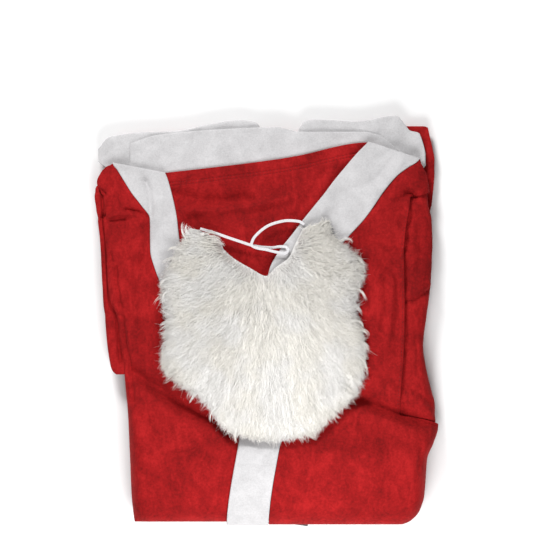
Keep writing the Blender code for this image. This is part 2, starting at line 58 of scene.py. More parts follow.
# Driving dimensions, as in the CAD model except for SEAM
CLOTH = 1.5  # wall of the red cloth
TRIM = 2.3  # wall of the white trims
BACKING = 1.2  # woven back of the beard
GAP = 0.5  # clearance between two layers
SEAM = 0.25  # clearance between two pieces side by side
SIDE_RADIUS = 14.0  # roll of the side folds
FOLD_RADIUS = 24.0  # roll of the bottom fold
BOTTOM = -204.5  # y of the bottom fold
TUCKED = 12.5  # lowest height of the cloth tucked round a fold
SHOULDER = 9.0  # how much lower the cloth starts at the sides than beside the neck
SHOULDER_REACH = 9.0  # how far down that slope fades
SIDE_DROP = 3.0  # how much lower the cloth lies at the sides than in the middle
CREASE = 1.5  # sharpness of the creases

# Depths of the layers under the outermost cloth
DEPTH_RIGHT = 0.0
DEPTH_RIGHT_TRIM = -0.8
DEPTH_RIGHT_SLEEVE = DEPTH_RIGHT + CLOTH + 2 * GAP
DEPTH_LEFT_TRIM = DEPTH_RIGHT + CLOTH + GAP
DEPTH_LEFT = DEPTH_LEFT_TRIM + 0.8
DEPTH_BACK = DEPTH_LEFT + CLOTH + GAP
DEPTH_CORE = DEPTH_BACK + CLOTH + GAP
DEPTH_BEARD = DEPTH_RIGHT_TRIM - GAP

# Outline of the pile. Columns: y, left edge of the front, left edge of the sleeve, right edge
OUTLINE = (
    (159, -158, -158, 155.5),
    (154, -164.5, -161, 158.2),
    (148, -169.5, -166, 160.6),
    (140, -173, -171, 162.3),
    (133, -173, -173.4, 163.2),
    (126, -168.8, -173.8, 163.8),
    (116, -166.2, -172.6, 164.6),
    (102, -166, -171, 165.5),
    (76, -163.5, -168, 166.5),
    (32, -161, -165.8, 164),
    (19, -159, -165, 162.4),
    (6, -152, -163.4, 160.6),
    (-26, -149, -160.5, 157),
    (-48, -144, -157.5, 160),
    (-69, -142, -156, 165),
    (-89, -140, -150, 170.4),
    (-106, -139, -150, 172),
    (-122, -138.3, -150, 167.5),
    (-138, -137.5, -150, 161),
    (-175, -136, -150, 158),
    (-190, -134.5, -150, 153.5),
    (-201, -133, -150, 144),
    (-206, -130, -150, 132),
)

# Height of the outermost layer along the middle. Columns: y, height
CROWN = (
    (206, 24.2),
    (150, 24.4),
    (102, 29),
    (50, 32),
    (0, 34),
    (-50, 37),
    (-95, 42),
    (-140, 49),
    (-206, 46),
)

# Points of the fold across the waist
WAIST = ((-150, -50), (-126, -57), (-89, -82), (-38, -111), (20, -104), (83, -71), (138, -96), (176, -106))

# Large folds: how far the cloth rises, half its width, and the points that it runs through
FOLDS = (
    (-5.0, 20.0, WAIST),
    (4.0, 30.0, ((-120, -150), (-40, -158), (60, -150), (140, -146))),
    (-1.2, 20.0, ((-165, 106), (-128, 106))),
    (1.2, 22.0, ((-120, 60), (-118, 0))),
    (2.5, 20.0, ((110, 20), (112, -40))),
)

# Creases that run through all the layers, in the same form
CREASES = (
    (-8.5, 6.2, ((-134, -50), (-126, -57), (-108, -68), (-89, -82), (-70, -91), (-48, -101), (-38, -110))),
    (3.4, 7.0, ((-122, -70), (-106, -81), (-90, -93), (-66, -103), (-46, -114))),
    (
        -9.5,
        5.8,
        ((76, -64), (90, -73), (98, -78), (114, -86), (132, -92), (146, -98), (160, -103), (172, -105)),
    ),
    (3.8, 7.0, ((86, -85), (104, -92), (124, -100), (146, -108))),
    (2.6, 9.0, ((92, -58), (112, -68), (134, -78))),
    (-2.2, 3.6, ((62, -66), (80, -76), (88, -84))),
    (-3.0, 4.5, ((-122, -97), (-114, -99))),
    (-3.6, 2.6, ((-168, 104), (-161, 103.6))),
    (3.0, 2.2, ((-160, 104), (-149.5, 106.4), (-136, 107.4), (-127, 105))),
    (-3.0, 1.9, ((-141, 111.6), (-129, 109.4), (-120, 105))),
    (-3.2, 1.9, ((-161, 99), (-152.7, 101.2), (-143, 102.2))),
    (-3.8, 2.2, ((-122.5, 141), (-119, 133), (-117.2, 122), (-116.6, 106))),
    (-3.8, 4.0, ((-119.4, 94), (-120, 76), (-122.3, 63.5), (-127, 56.6))),
    (-2.6, 3.0, ((132, 121.5), (138.7, 125), (145.5, 127), (148.8, 123))),
    (-4.6, 3.4, ((141, 128.6), (146, 128), (150, 124.5))),
    (2.2, 4.0, ((128, 114), (140, 118.5), (142, 112))),
    (-3.4, 4.6, ((103, 81), (115, 80), (131, 75), (138, 71.5))),
    (2.0, 5.0, ((102, 70), (118, 69), (131, 62))),
    (-1.8, 4.0, ((-138, 60), (-134, 30), (-138, 5))),
    (1.6, 5.0, ((-128, 40), (-126, 5), (-122, -30))),
    (-1.4, 4.5, ((-60, -134), (-20, -142), (14, -140))),
    (1.4, 6.0, ((24, -136), (70, -130), (118, -134))),
)

# Creases of single pieces, on their own cloth
BACK_CREASES = (
    (-6.4, 7.4, ((-104, 129), (-90, 126), (-62, 122), (-40, 122.5), (-24, 126))),
    (-2.4, 2.6, ((-86, 118), (-56, 117.5), (-34, 119.5), (-14, 123))),
    (4.2, 4.2, ((-78, 111), (-44, 111.5), (-8, 116.5), (20, 123.5))),
    (-1.2, 5.0, ((-70, 102), (-20, 106), (24, 116))),
    (1.2, 8.0, ((-30, 84), (10, 96), (50, 118))),
    (-1.4, 4.0, ((60, 152), (42, 126), (22, 96))),
    (1.0, 5.0, ((70, 158), (56, 138))),
)
LEFT_CREASES = (
    (-4.0, 2.3, ((-168, 131.5), (-165, 130), (-163, 127.5))),
    (-2.6, 2.0, ((-167, 126), (-166.4, 116), (-165, 106))),
    (-3.2, 2.4, ((-158.8, 66), (-157.5, 60))),
    (-3.4, 2.2, ((-151.8, 53), (-151.6, 38), (-149, 26), (-147.5, 12))),
    (-3.6, 2.0, ((-145, 4), (-143, -23.7), (-140, -38), (-138, -65), (-136, -80))),
    (1.3, 4.0, ((-153, 146), (-149, 128), (-152, 112))),
    (-1.3, 3.2, ((-158, 140), (-155, 124), (-158, 110))),
    (1.1, 4.0, ((-137, 92), (-132, 66), (-133, 44))),
    (-1.4, 2.6, ((-150, 20), (-140, 9), (-128, -8))),
    (1.0, 4.0, ((-152, 8), (-142, -6), (-134, -24))),
    (1.2, 6.0, ((-124, -120), (-100, -138), (-60, -146))),
    (-1.4, 4.5, ((-130, -150), (-96, -164), (-50, -168))),
    (-1.2, 3.2, ((-128, -118), (-96, -128), (-66, -126))),
    (-0.9, 3.0, ((-60, -186), (-36, -191), (-22, -188))),
)
RIGHT_CREASES = (
    (-1.8, 2.8, ((103, 62), (115, 58), (125, 50), (129, 44))),
    (0.9, 2.4, ((141, 108), (138, 88), (135.6, 70), (136, 48), (136, 20), (136, -12), (133, -60))),
    (1.8, 3.2, ((125.6, 46), (125, 20), (122, -12))),
    (-1.6, 2.4, ((119, 44), (118.5, 12), (114, -14))),
    (-1.6, 2.4, ((131, 40), (131, 10), (128, -18))),
    (1.8, 4.5, ((134, 52), (134, 46))),
    (-2.0, 2.4, ((128, 57), (137, 52))),
    (-1.8, 2.4, ((126, 6), (137, 1))),
    (-1.2, 2.2, ((128, -28), (136, -32))),
    (-1.1, 2.2, ((129, -62), (134, -64))),
    (-1.2, 2.2, ((132, 98), (141, 95))),
    (-1.6, 4.0, ((110, 114), (124, 105), (136, 102))),
    (1.4, 5.0, ((104, 98), (120, 91), (136, 88))),
    (-1.2, 3.5, ((86, -44), (100, -50), (122, -56))),
    (1.2, 4.5, ((92, -54), (112, -64), (132, -72))),
    (-2.4, 2.8, ((154.8, -122), (154.8, -134), (153, -148))),
    (1.2, 6.0, ((60, -128), (96, -136), (132, -128))),
    (-1.4, 4.5, ((70, -158), (104, -164), (134, -156))),
    (-1.2, 3.2, ((104, -178), (128, -172), (146, -178))),
    (-0.9, 2.6, ((40, -176), (72, -181), (96, -192))),
)
RIGHT_SLEEVE_CREASES = (
    (-2.8, 1.9, ((138, 19.6), (149, 20.6), (156, 25.7), (166, 30))),
    (
        -3.0,
        1.7,
        (
            (146, 121), (143, 102), (141.4, 90), (139.3, 77.7), (139.2, 56), (140.2, 49),
            (140, 39), (139.3, 19.6), (139.7, 3), (140.6, -12), (138, -48), (135.5, -86),
        ),
    ),
    (-2.8, 5.0, ((141, 84), (148, 80), (158, 70), (166, 65))),
    (-1.8, 3.0, ((142, 0), (144.5, -12))),
    (1.6, 3.4, ((139, 27), (151, 31), (166, 37))),
    (-1.5, 2.6, ((152, 96), (155, 74), (152, 52))),
    (1.1, 3.6, ((146, 92), (147, 66), (145, 50))),
    (-1.5, 2.6, ((147, 0), (152, -28), (152, -54))),
    (-1.6, 2.6, ((142, -66), (154, -72), (168, -84))),
    (1.3, 4.0, ((140, -74), (154, -84), (168, -94))),
)
LEFT_TRIM_CREASES = (
    (-0.8, 1.6, ((-126, 148), (-122.5, 141), (-119, 133), (-117.2, 122), (-116.6, 106))),
    (1.0, 3.6, ((-110, 144), (-106, 128), (-107, 104))),
    (-0.9, 4.0, ((-108, 62), (-96, 52), (-82, 50))),
)
RIGHT_TRIM_CREASES = (
    (-0.8, 1.8, ((-38, -191), (-24, -193), (-6, -196))),
    (-1.3, 3.0, ((124, 160), (110, 143), (96, 134), (80, 132))),
    (1.1, 4.0, ((136, 160), (120, 138), (104, 118))),
    (0.9, 5.0, ((60, 112), (46, 92), (36, 76))),
    (-1.0, 4.0, ((-22, -134), (-8, -142), (0, -150))),
)
LEFT_SLEEVE_CREASES = (
    (-2.6, 3.0, ((-174, 104), (-160, 104))),
    (-1.8, 2.6, ((-176, 129), (-168, 130))),
    (1.0, 5.0, ((-170, 80), (-164, 40))),
    (-1.4, 3.0, ((-168, 10), (-156, -2))),
    (
        -4.4,
        2.6,
        (
            (-166.5, 146), (-168, 130), (-168, 102), (-165.5, 76), (-163, 32), (-160.5, 19),
            (-153.5, 6), (-151, -10), (-149.5, -40),
        ),
    ),
)

# Front edge of each half. Columns: y, outer edge of the left trim, inner edge of the left trim
LEFT_TRIM = (
    (159, -155, -112),
    (149, -149, -102.5),
    (121, -131, -94),
    (104, -117.6, -90.5),
    (76, -117.5, -87),
    (32, -104.3, -70),
    (-34, -67, -31),
    (-89, -33, 3),
    (-109, -24, 13),
    (-150, -19, 18),
    (-260, -19, 18),
)
# Columns: y, inner edge of the right trim, outer edge of the right trim
RIGHT_TRIM = (
    (180, 102, 160),
    (166.5, 87.8, 156),
    (146, 71, 131),
    (131, 60, 118),
    (105, 39, 100),
    (76, 17, 74.5),
    (60, 5, 64),
    (47.4, 1.5, 57),
    (-30, -11.5, 37),
    (-116, -27.4, 14.4),
    (-206, -40.3, 1.5),
    (-260, -41, 1),
)
# Slanted rows of the two trims over the shoulders.
# Columns: x and y at the neck, y at the outer edge
LEFT_TRIM_TOP = ((-102.5, 149, 159), (-101.4, 146.5, 154), (-100.2, 143.5, 147))
RIGHT_TRIM_TOP = ((102, 180, 163), (96.5, 174.5, 158), (91, 169, 154), (79, 155, 147))
# Seam of the right sleeve. Columns: y, x
RIGHT_ARMHOLE = ((160, 148), (121, 143.6), (70, 137.5), (21, 138), (-19, 137.5), (-92, 133), (-110, 133))

# Rows of the fronts and trims: y down the front, then how far they have turned round the bottom fold
LEFT_SHOULDER_ROWS = (158, 154, 147)
LEFT_CREASE_ROWS = (111, 107, 102)  # more rows where a small crease crosses
LEFT_BULGE = 2.0  # how far the left shoulder's edge bows out
RIGHT_SHOULDER_ROWS = (163, 158, 154, 147)
# More rows where the right front leaves and meets its side fold
CAP_ROWS = (131, 129, 127.5, 126, 124, 121, -96.5, -99, -101, -103.5, -106)
SHARED_ROWS = (140, 128, 116, 102, 87, 70, 52, 34, 16, -2, -20, -36, -50, -64, -79, -94, -102, -110, -120)
LOWER_ROWS = (-133, -148, -164, -180)
FOLD_ANGLES = (20, 42, 64, 86, 108)

# Top edge of the back neck. Columns: x, y
BACK_NECK = (
    (-160, 143),
    (-102, 149),
    (3, 161.6),
    (33, 166.5),
    (88, 178.6),
    (101, 179.5),
    (110, 172),
    (135, 160),
)
BACK_LENGTH = 165.0  # how much of the back is there under the fronts and the beard
HEM = 13.5  # turned in along the neck and stitched down
HEM_ROWS = 3.0  # between its two rows of stitches
STITCH = (3.4, 2.5, 0.22)  # from one stitch to the next, its length and half its thickness

# White band behind the neck and the two trouser cuffs. Columns: x, lower edge, upper edge
NECK_BAND = (
    (-138, 141, 178),
    (-110, 140, 187),
    (-20, 140, 194),
    (10, 140, 195),
    (21.7, 140, 192.6),
    (31, 140, 190.2),
    (60, 140, 190),
    (96, 142, 190),
    (112, 142, 187),
    (126, 142, 177),
    (138, 142, 168),
)
CUFF_LEFT = (
    (-170, 160, 173),
    (-159, 152, 185),
    (-129, 150, 189.5),
    (-92, 150, 191),
    (-62, 150, 197),
    (-40, 150, 201),
    (-26, 150, 202),
    (-17, 150, 201),
    (-10.5, 150, 199.4),
    (-7.5, 150, 196),
)
CUFF_RIGHT = (
    (31, 150, 188.5),
    (32.6, 150, 194),
    (35.4, 150, 198.6),
    (39.5, 150, 201.4),
    (46, 150, 202.6),
    (66, 150, 202),
    (88, 150, 200.6),
    (130, 150, 206.5),
    (139.5, 150, 197),
    (144, 150, 191.5),
    (153, 151, 189.2),
    (157, 153, 179.5),
    (159.8, 156, 168),
)
LEG = (
    (-158, 138, 168),
    (-120, 136, 184),
    (-20, 134, 187),
    (60, 134, 187),
    (100, 134, 192),
    (141, 134, 196),
    (151, 134, 196),
    (157, 112, 196),
    (162, 108, 195),
    (165, 110, 182),
    (167, 124, 174),
    (169, 144, 164),
)
LEG_LEVEL = 150.0  # below this y the leg lies as high as it does here
CUFF = 4.0  # a cuff folded double

# Left sleeve: where it starts and ends down the side
SLEEVE_TOP = 148
SLEEVE_END = -54
# Between which y the fronts come free of their sleeves. The right one is free all the way
LEFT_FREE = (-46, -66)
RIGHT_FREE = (400, 300)

# Folded layers under the jacket, from the ground up.
# Columns: low and high side, inset at the sides, inset at the bottom fold, y of the neck end
LOW_LAYERS = (
    (0.0, 3.9, 4.4, 5.6, 178),
    (4.3, 8.2, 4.0, 4.0, 182),
)
INNER_LAYERS = 5
INNER_END = 146.0
LAYER_WIDTH = 300.0
LAYER_EDGE = 4.0  # its columns and rows are closer over this much of each edge
LAYER_CELLS = 5  # how much coarser the hidden layers' mesh is
LAYERS_RIGHT = 158.0  # the layers under the jacket reach no further right than this

# Beard, outline from the left ear round to the right ear. Columns: place along it, x, y
BEARD_INNER = (
    (0, -68, 91),
    (0.1, -46, 79.5),
    (0.16, -44, 73),
    (0.25, -35, 64),
    (0.37, -17, 53),
    (0.5, -1, 45),
    (0.62, 8, 53),
    (0.74, 22, 64),
    (0.84, 28, 77),
    (1, 36, 93),
)
BEARD_OUTER = (
    (0, -77.4, 93),
    (0.06, -86, 77),
    (0.12, -102, 48),
    (0.18, -105.5, 30),
    (0.26, -101, 0),
    (0.32, -105, -42),
    (0.37, -89, -62),
    (0.42, -64, -79),
    (0.46, -36, -111),
    (0.5, 4, -118),
    (0.54, 40, -114),
    (0.59, 72, -88),
    (0.64, 92, -68),
    (0.7, 98, -30),
    (0.78, 89, 14),
    (0.85, 97, 52),
    (0.92, 82, 72),
    (0.96, 66, 84),
    (1, 60.5, 100.5),
)
# How much of the fur stands up from the ear side to the tips. Columns: place, height
FUR_HEIGHT = ((0, 6), (0.15, 11), (0.45, 14), (0.75, 12), (0.92, 7), (1, 3.5))
BACKING_REACH = 0.9  # the backing ends short of the fur's tips
# How much of the ground round a point is fur where a lock may end, where one starts and where a hair starts
LOCK_END = 0.7
LOCK_ROOT = 0.72
HAIR_ROOT = 0.55
HAIR_PIECES = 4  # the hairs are shared out over this many pieces
HAIR_POINTS = 4  # along each hair

# Lumps and hollows of the fur, in the form of the folds
FUR_LUMPS = (
    (-3.6, 4.5, ((-12, 12), (-4, 10), (3, 8))),
    (-1.2, 12.0, ((-24, 4), (-6, 0), (12, 2))),
    (2.4, 9.0, ((-30, 24), (-8, 22), (14, 24))),
    (2.4, 8.0, ((-44, -100), (-14, -106), (24, -106), (52, -98))),
    (-1.8, 8.0, ((-52, -84), (-16, -88), (26, -88), (60, -80))),
    (1.6, 10.0, ((-84, 60), (-88, 30), (-84, 0))),
    (-1.4, 8.0, ((-70, -14), (-78, -40))),
    (-1.6, 7.0, ((-62, 34), (-50, 12), (-46, -12))),
    (1.6, 9.0, ((74, 60), (78, 36), (70, 12))),
    (-1.6, 7.0, ((60, 22), (66, -6), (76, -28))),
    (1.4, 9.0, ((-24, -30), (-26, -60))),
    (1.2, 9.0, ((30, -20), (36, -56))),
)

# Lie of the fur. Columns: x, y, direction in degrees from +X, length of the hair, how much it curls
FUR_LIE = (
    (-82, 96, 130, 9, 0.6),
    (-76, 84, 170, 12, 0.6),
    (-100, 52, 196, 16, 0.5),
    (-104, 22, 184, 18, 0.5),
    (-100, -8, 204, 22, 0.6),
    (-100, -44, 214, 26, 0.5),
    (-78, -74, 238, 26, 0.4),
    (-44, -104, 250, 24, 0.3),
    (-2, -112, 266, 22, 0.3),
    (40, -108, 282, 22, 0.4),
    (74, -84, 304, 24, 0.6),
    (94, -58, 318, 24, 0.8),
    (98, -20, 338, 20, 0.9),
    (90, 14, 346, 18, 1.4),
    (98, 48, 8, 18, 1.8),
    (82, 74, 24, 16, 1.7),
    (62, 98, 60, 10, 1.0),
    (42, 92, 40, 10, 0.9),
    (-56, 78, 196, 14, 0.5),
    (-60, 56, 208, 18, 0.4),
    (-66, 24, 206, 22, 0.4),
    (-62, -10, 222, 24, 0.3),
    (-52, -50, 240, 26, 0.3),
    (-36, 50, 222, 16, 0.4),
    (-24, 26, 240, 18, 0.3),
    (-14, -10, 258, 24, 0.2),
    (-12, -60, 262, 26, 0.2),
    (0, 34, 272, 14, 0.3),
    (14, 26, 292, 16, 0.4),
    (18, -10, 280, 24, 0.2),
    (28, -60, 278, 26, 0.3),
    (30, 54, 326, 14, 0.7),
    (46, 34, 322, 18, 0.7),
    (52, -6, 304, 22, 0.4),
    (60, -40, 300, 24, 0.4),
    (54, 72, 350, 16, 1.1),
)

# Wisps past the beard's outline. Columns: x, y where they start, bend to and end
WISPS = (
    (-80, 82, -88, 91, -83.5, 99),
    (-77, 86, -83, 91, -80, 96.5),
    (-84, 70, -96, 76, -98, 70),
    (-96, 32, -108, 25, -101.5, 17),
    (-86, 4, -99, 7, -108, 11.5),
    (-92, -14, -101, -10, -107, -14),
    (-90, -34, -100, -38, -106, -50),
    (-84, -46, -92, -52, -101, -56),
    (-66, -66, -74, -74, -77, -82),
    (-50, -84, -58, -92, -56, -100),
    (-30, -104, -34, -114, -30, -120),
    (-58, 84, -50, 86, -45, 80),
    (-56, 80, -47, 81, -42, 75.5),
    (-62, 87, -56, 90.5, -50, 86.5),
    (-88, 62, -100, 66, -103, 58),
    (-94, 44, -106, 42, -107, 33),
    (-92, -2, -102, 1, -107, -5),
    (52, 94, 60, 102, 64, 99),
    (70, 78, 82, 86, 86, 78),
    (84, 62, 96, 66, 97, 53),
    (84, 46, 97, 50, 97, 38),
    (84, 32, 96, 34, 99, 20),
    (80, 16, 92, 18, 95, 6),
    (84, 0, 96, 2, 96, -8),
    (88, -10, 99, -6, 102, -16),
    (88, -22, 100, -20, 101, -30),
    (90, -34, 99, -38, 100, -55),
    (80, -50, 92, -56, 93, -66),
    (72, -62, 86, -68, 89, -75),
    (58, -84, 68, -94, 72, -96),
    (34, -104, 42, -114, 50, -117),
)

# Route of the beard's elastic, the same points as in the CAD model. Columns: x, y, height over the trims
ELASTIC = (
    (-66.9, 92.2, 2.2),
    (-52.0, 88.0, 1.6),
    (-39.0, 83.5, 1.1),
    (-27.0, 79.5, 0.8),
    (-15.0, 75.7, 0.5),
    (-5.0, 73.9, 0.4),
    (5.0, 73.4, 0.4),
    (13.0, 74.4, 0.4),
    (18.6, 74.2, 1.0),
    (21.0, 70.6, 2.0),
    (17.5, 67.6, 2.9),
    (9.0, 69.0, 3.3),
    (-1.0, 71.4, 3.4),
    (-10.0, 73.0, 3.4),
    (-15.6, 76.4, 3.4),
    (-14.0, 81.5, 3.0),
    (-6.5, 90.0, 2.2),
    (5.0, 97.0, 1.6),
    (21.0, 100.5, 1.6),
    (32.0, 99.6, 2.0),
    (37.2, 96.4, 2.4),
)
ELASTIC_HEIGHT = 1.0  # its middle, over what it lies on
ELASTIC_SIZE = (2.8, 0.9)  # width and thickness

# Belt: its width, how much looks out and how thick it is, its lowest and highest point, outer corner and turn
BELT = (40.0, 18.0, 1.1)
BELT_LOW = 8.6
BELT_HIGH = 11.0
BELT_CORNER = (41.0, -207.4)
BELT_TURN = -7.6

# Lights. Columns: name of the setting with its power, diameter and place in metres
LIGHTS = (
    ("key", 0.4, (-0.35, 1.1, 0.75)),
    ("fill", 0.45, (0.05, -0.46, 0.48)),
)
CAMERA_PLACE = (-0.0005, 0.0545)
SEEN_HEIGHT = 0.035  # the camera's seen width is measured this high


class StageSettings(bpy.types.PropertyGroup):
    """Floor, lights and camera."""

    floor: bpy.props.FloatVectorProperty(
        name="Floor", description="Colour of the floor", subtype="COLOR", default=(0.95, 0.95, 0.95)
    )
    height: bpy.props.FloatProperty(
        name="Camera height", description="Height of the camera over the floor", default=3.0, unit="LENGTH"
    )
    width: bpy.props.FloatProperty(
        name="Seen width",
        description="Width that the camera sees on top of the suit",
        default=0.533,
        unit="LENGTH",
    )
    key: bpy.props.FloatProperty(
        name="Key light", description="Power of the main light", default=15.5, unit="POWER"
    )
    fill: bpy.props.FloatProperty(
        name="Fill light", description="Power of the second light", default=4.1, unit="POWER"
    )
    sky: bpy.props.FloatProperty(
        name="Surroundings", description="Strength of the light all round", default=0.30
    )


class ClothSettings(bpy.types.PropertyGroup):
    """Cloth, trims, elastic and belt."""

    cell: bpy.props.FloatProperty(
        name="Cell", description="Spacing of the mesh over the cloth", default=0.0019, unit="LENGTH"
    )
    red: bpy.props.FloatVectorProperty(
        name="Red", description="Colour of the red cloth", subtype="COLOR", default=(0.285, 0.0068, 0.0078)
    )
    white: bpy.props.FloatVectorProperty(
        name="White", description="Colour of the white trims", subtype="COLOR", default=(0.555, 0.545, 0.552)
    )
    belt: bpy.props.FloatVectorProperty(
        name="Belt", description="Colour of the belt", subtype="COLOR", default=(0.012, 0.012, 0.013)
    )


class FurSettings(bpy.types.PropertyGroup):
    """The beard's fur."""

    colour: bpy.props.FloatVectorProperty(
        name="Colour", description="Colour of the hairs' tips", subtype="COLOR", default=(0.93, 0.916, 0.892)
    )
    lock: bpy.props.FloatProperty(
        name="Lock spacing", description="Distance between two locks of hair", default=0.0042, unit="LENGTH"
    )
    hairs: bpy.props.IntProperty(name="Hairs", description="Hairs in a lock", default=16)
    thickness: bpy.props.FloatProperty(
        name="Thickness", description="Thickness of a hair at its root", default=0.0006, unit="LENGTH"
    )
    seed: bpy.props.IntProperty(name="Seed", description="Start of the random numbers", default=7)


def mix(a, b, t):
    return a + (b - a) * t


def smooth(table, column):
    """A curve through one column of a table, against its first column, that never overshoots."""
    rows = np.array(sorted(tuple(row) for row in table), float)
    at, value = rows[:, 0], rows[:, column]
    rise = np.diff(value) / np.diff(at)
    both = rise[:-1] * rise[1:]
    total = np.where(both > 0, rise[:-1] + rise[1:], 1.0)
    slope = np.concatenate([rise[:1], np.where(both > 0, 2 * both / total, 0.0), rise[-1:]])

    def curve(t):
        t = np.clip(t, at[0], at[-1])
        i = np.clip(np.searchsorted(at, t, side="right") - 1, 0, len(rise) - 1)
        span = at[i + 1] - at[i]
        p = (t - at[i]) / span
        return (
            value[i] * (1 + 2 * p) * (1 - p) ** 2
            + value[i + 1] * p * p * (3 - 2 * p)
            + span * (slope[i] * p * (1 - p) ** 2 - slope[i + 1] * p * p * (1 - p))
        )

    return curve


left_edge = smooth(OUTLINE, 1)
left_sleeve_edge = smooth(OUTLINE, 2)
right_edge = smooth(OUTLINE, 3)
crown = smooth(CROWN, 1)


def distance_to_line(x, y, points):
    """How far each point lies from a line through the given points."""
    nearest = np.full(np.shape(x), np.inf)
    for (x0, y0), (x1, y1) in zip(points, points[1:]):
        along = ((x - x0) * (x1 - x0) + (y - y0) * (y1 - y0)) / ((x1 - x0) ** 2 + (y1 - y0) ** 2)
        along = np.clip(along, 0.0, 1.0)
        nearest = np.minimum(nearest, np.hypot(x - mix(x0, x1, along), y - mix(y0, y1, along)))
    return nearest


def folded(x, y, folds, sharpness=2.0):
    """How far the folds raise the cloth. A lower sharpness gives folds a sharper middle and longer slopes."""
    height = np.zeros(np.shape(x))
    for rise, width, points in folds:
        height += rise * np.exp(-((distance_to_line(x, y, points) / width) ** sharpness))
    return height


def slack(x, y):
    """Slow, uneven swells of cloth that lies loose. The beard presses them flat."""
    pressed = 0.65 * np.exp(-(((x / 88.0) ** 2 + ((y + 8.0) / 98.0) ** 2) ** 2))
    return (1 - pressed) * (
        0.62 * np.sin(x / 13.0 + 1.7 * np.sin(y / 31.0))
        + 0.62 * np.sin(y / 15.0 + 1.3 * np.sin(x / 23.0 + 0.8))
        + 0.52 * np.sin((x + y) / 8.5 + 2.1 * np.sin((x - y) / 37.0))
        + 0.36 * np.sin((x - 0.6 * y) / 5.0 + 1.9 * np.sin(y / 11.0))
        + 0.16 * np.sin((0.7 * x + y) / 2.9 + 1.7 * np.sin(x / 9.0))
    )


def top(x, y, bridged=False):
    """Height of the outermost cloth, before it turns round the edges.

    A bridged one passes over the hollows.
    """
    middle = (left_edge(y) + right_edge(y)) / 2
    chest = np.clip((130 - y) / 40, 0.0, 1.0)
    height = crown(y) - SIDE_DROP * chest * ((x - middle) / 160) ** 2
    if bridged:
        return height + folded(x, y, [fold for fold in FOLDS if fold[0] > 0])
    return height + folded(x, y, FOLDS) + folded(x, y, CREASES, CREASE) + slack(x, y)


def side_height(y):
    """Height of the outermost point of the side folds."""
    return TUCKED + 1.0 + 0.25 * (crown(y) - TUCKED)


def roll_length(y):
    """Cloth that each radian of a side fold takes up."""
    return (SIDE_RADIUS + crown(y) - side_height(y)) / 2


def side_end(y, side, angle):
    """The x at which cloth over the side has turned through an angle."""
    reach = roll_length(y) * np.radians(angle) - SIDE_RADIUS
    return left_edge(y) - reach if side < 0 else right_edge(y) + reach


def fold_row(angle):
    """The y at which cloth over the bottom fold has turned through an angle."""
    return BOTTOM + FOLD_RADIUS - FOLD_RADIUS * math.radians(angle)


def place(x, y, depth, base):
    """Cloth at x, y on the pile, turned round the folds.

    base is the depth that follows the outline's sides.
    """
    inset = depth - base
    turn_y = np.maximum(0.0, (BOTTOM + FOLD_RADIUS - y) / FOLD_RADIUS)
    turned = BOTTOM + FOLD_RADIUS - (FOLD_RADIUS - depth) * np.sin(turn_y)
    plan_y = np.where(turn_y == 0.0, y, turned)
    left = left_edge(plan_y) + SIDE_RADIUS
    right = right_edge(plan_y) - SIDE_RADIUS
    turn_x = np.maximum(0.0, np.maximum(left - x, x - right)) / roll_length(plan_y)
    reach = (SIDE_RADIUS - inset) * np.sin(turn_x)
    plan_x = np.where(x < left, left - reach, np.where(x > right, right + reach, x))
    level = np.cos(turn_x) * np.cos(turn_y)
    middle = side_height(plan_y)
    over = middle + (top(plan_x, plan_y) - depth - middle) * level
    under = middle + (middle - TUCKED) * level
    return np.stack([plan_x, plan_y, np.where(level >= 0, over, under)], axis=-1)


class Value:
    """A number that changes over a surface: a socket that Python's operators turn into Math nodes."""

    def __init__(self, finish, socket):
        self.finish = finish
        self.socket = socket

    def math(self, operation, first, second=0.0):
        node = self.finish.node("ShaderNodeMath", {"operation": operation}, {0: first, 1: second})
        return Value(self.finish, node.outputs[0])

    def __add__(self, other):
        return self.math("ADD", self, other)

    def __sub__(self, other):
        return self.math("SUBTRACT", self, other)

    def __rsub__(self, other):
        return self.math("SUBTRACT", other, self)

    def __mul__(self, other):
        return self.math("MULTIPLY", self, other)

    def __pow__(self, other):
        return self.math("POWER", self, other)

    __radd__ = __add__
    __rmul__ = __mul__

    def above(self, low, high):
        """0 where the value is under low, 1 where it is over high, and a slope between."""
        inputs = {"Value": self, "From Min": low, "From Max": high}
        node = self.finish.node("ShaderNodeMapRange", {"clamp": True}, inputs)
        return Value(self.finish, node.outputs[0])


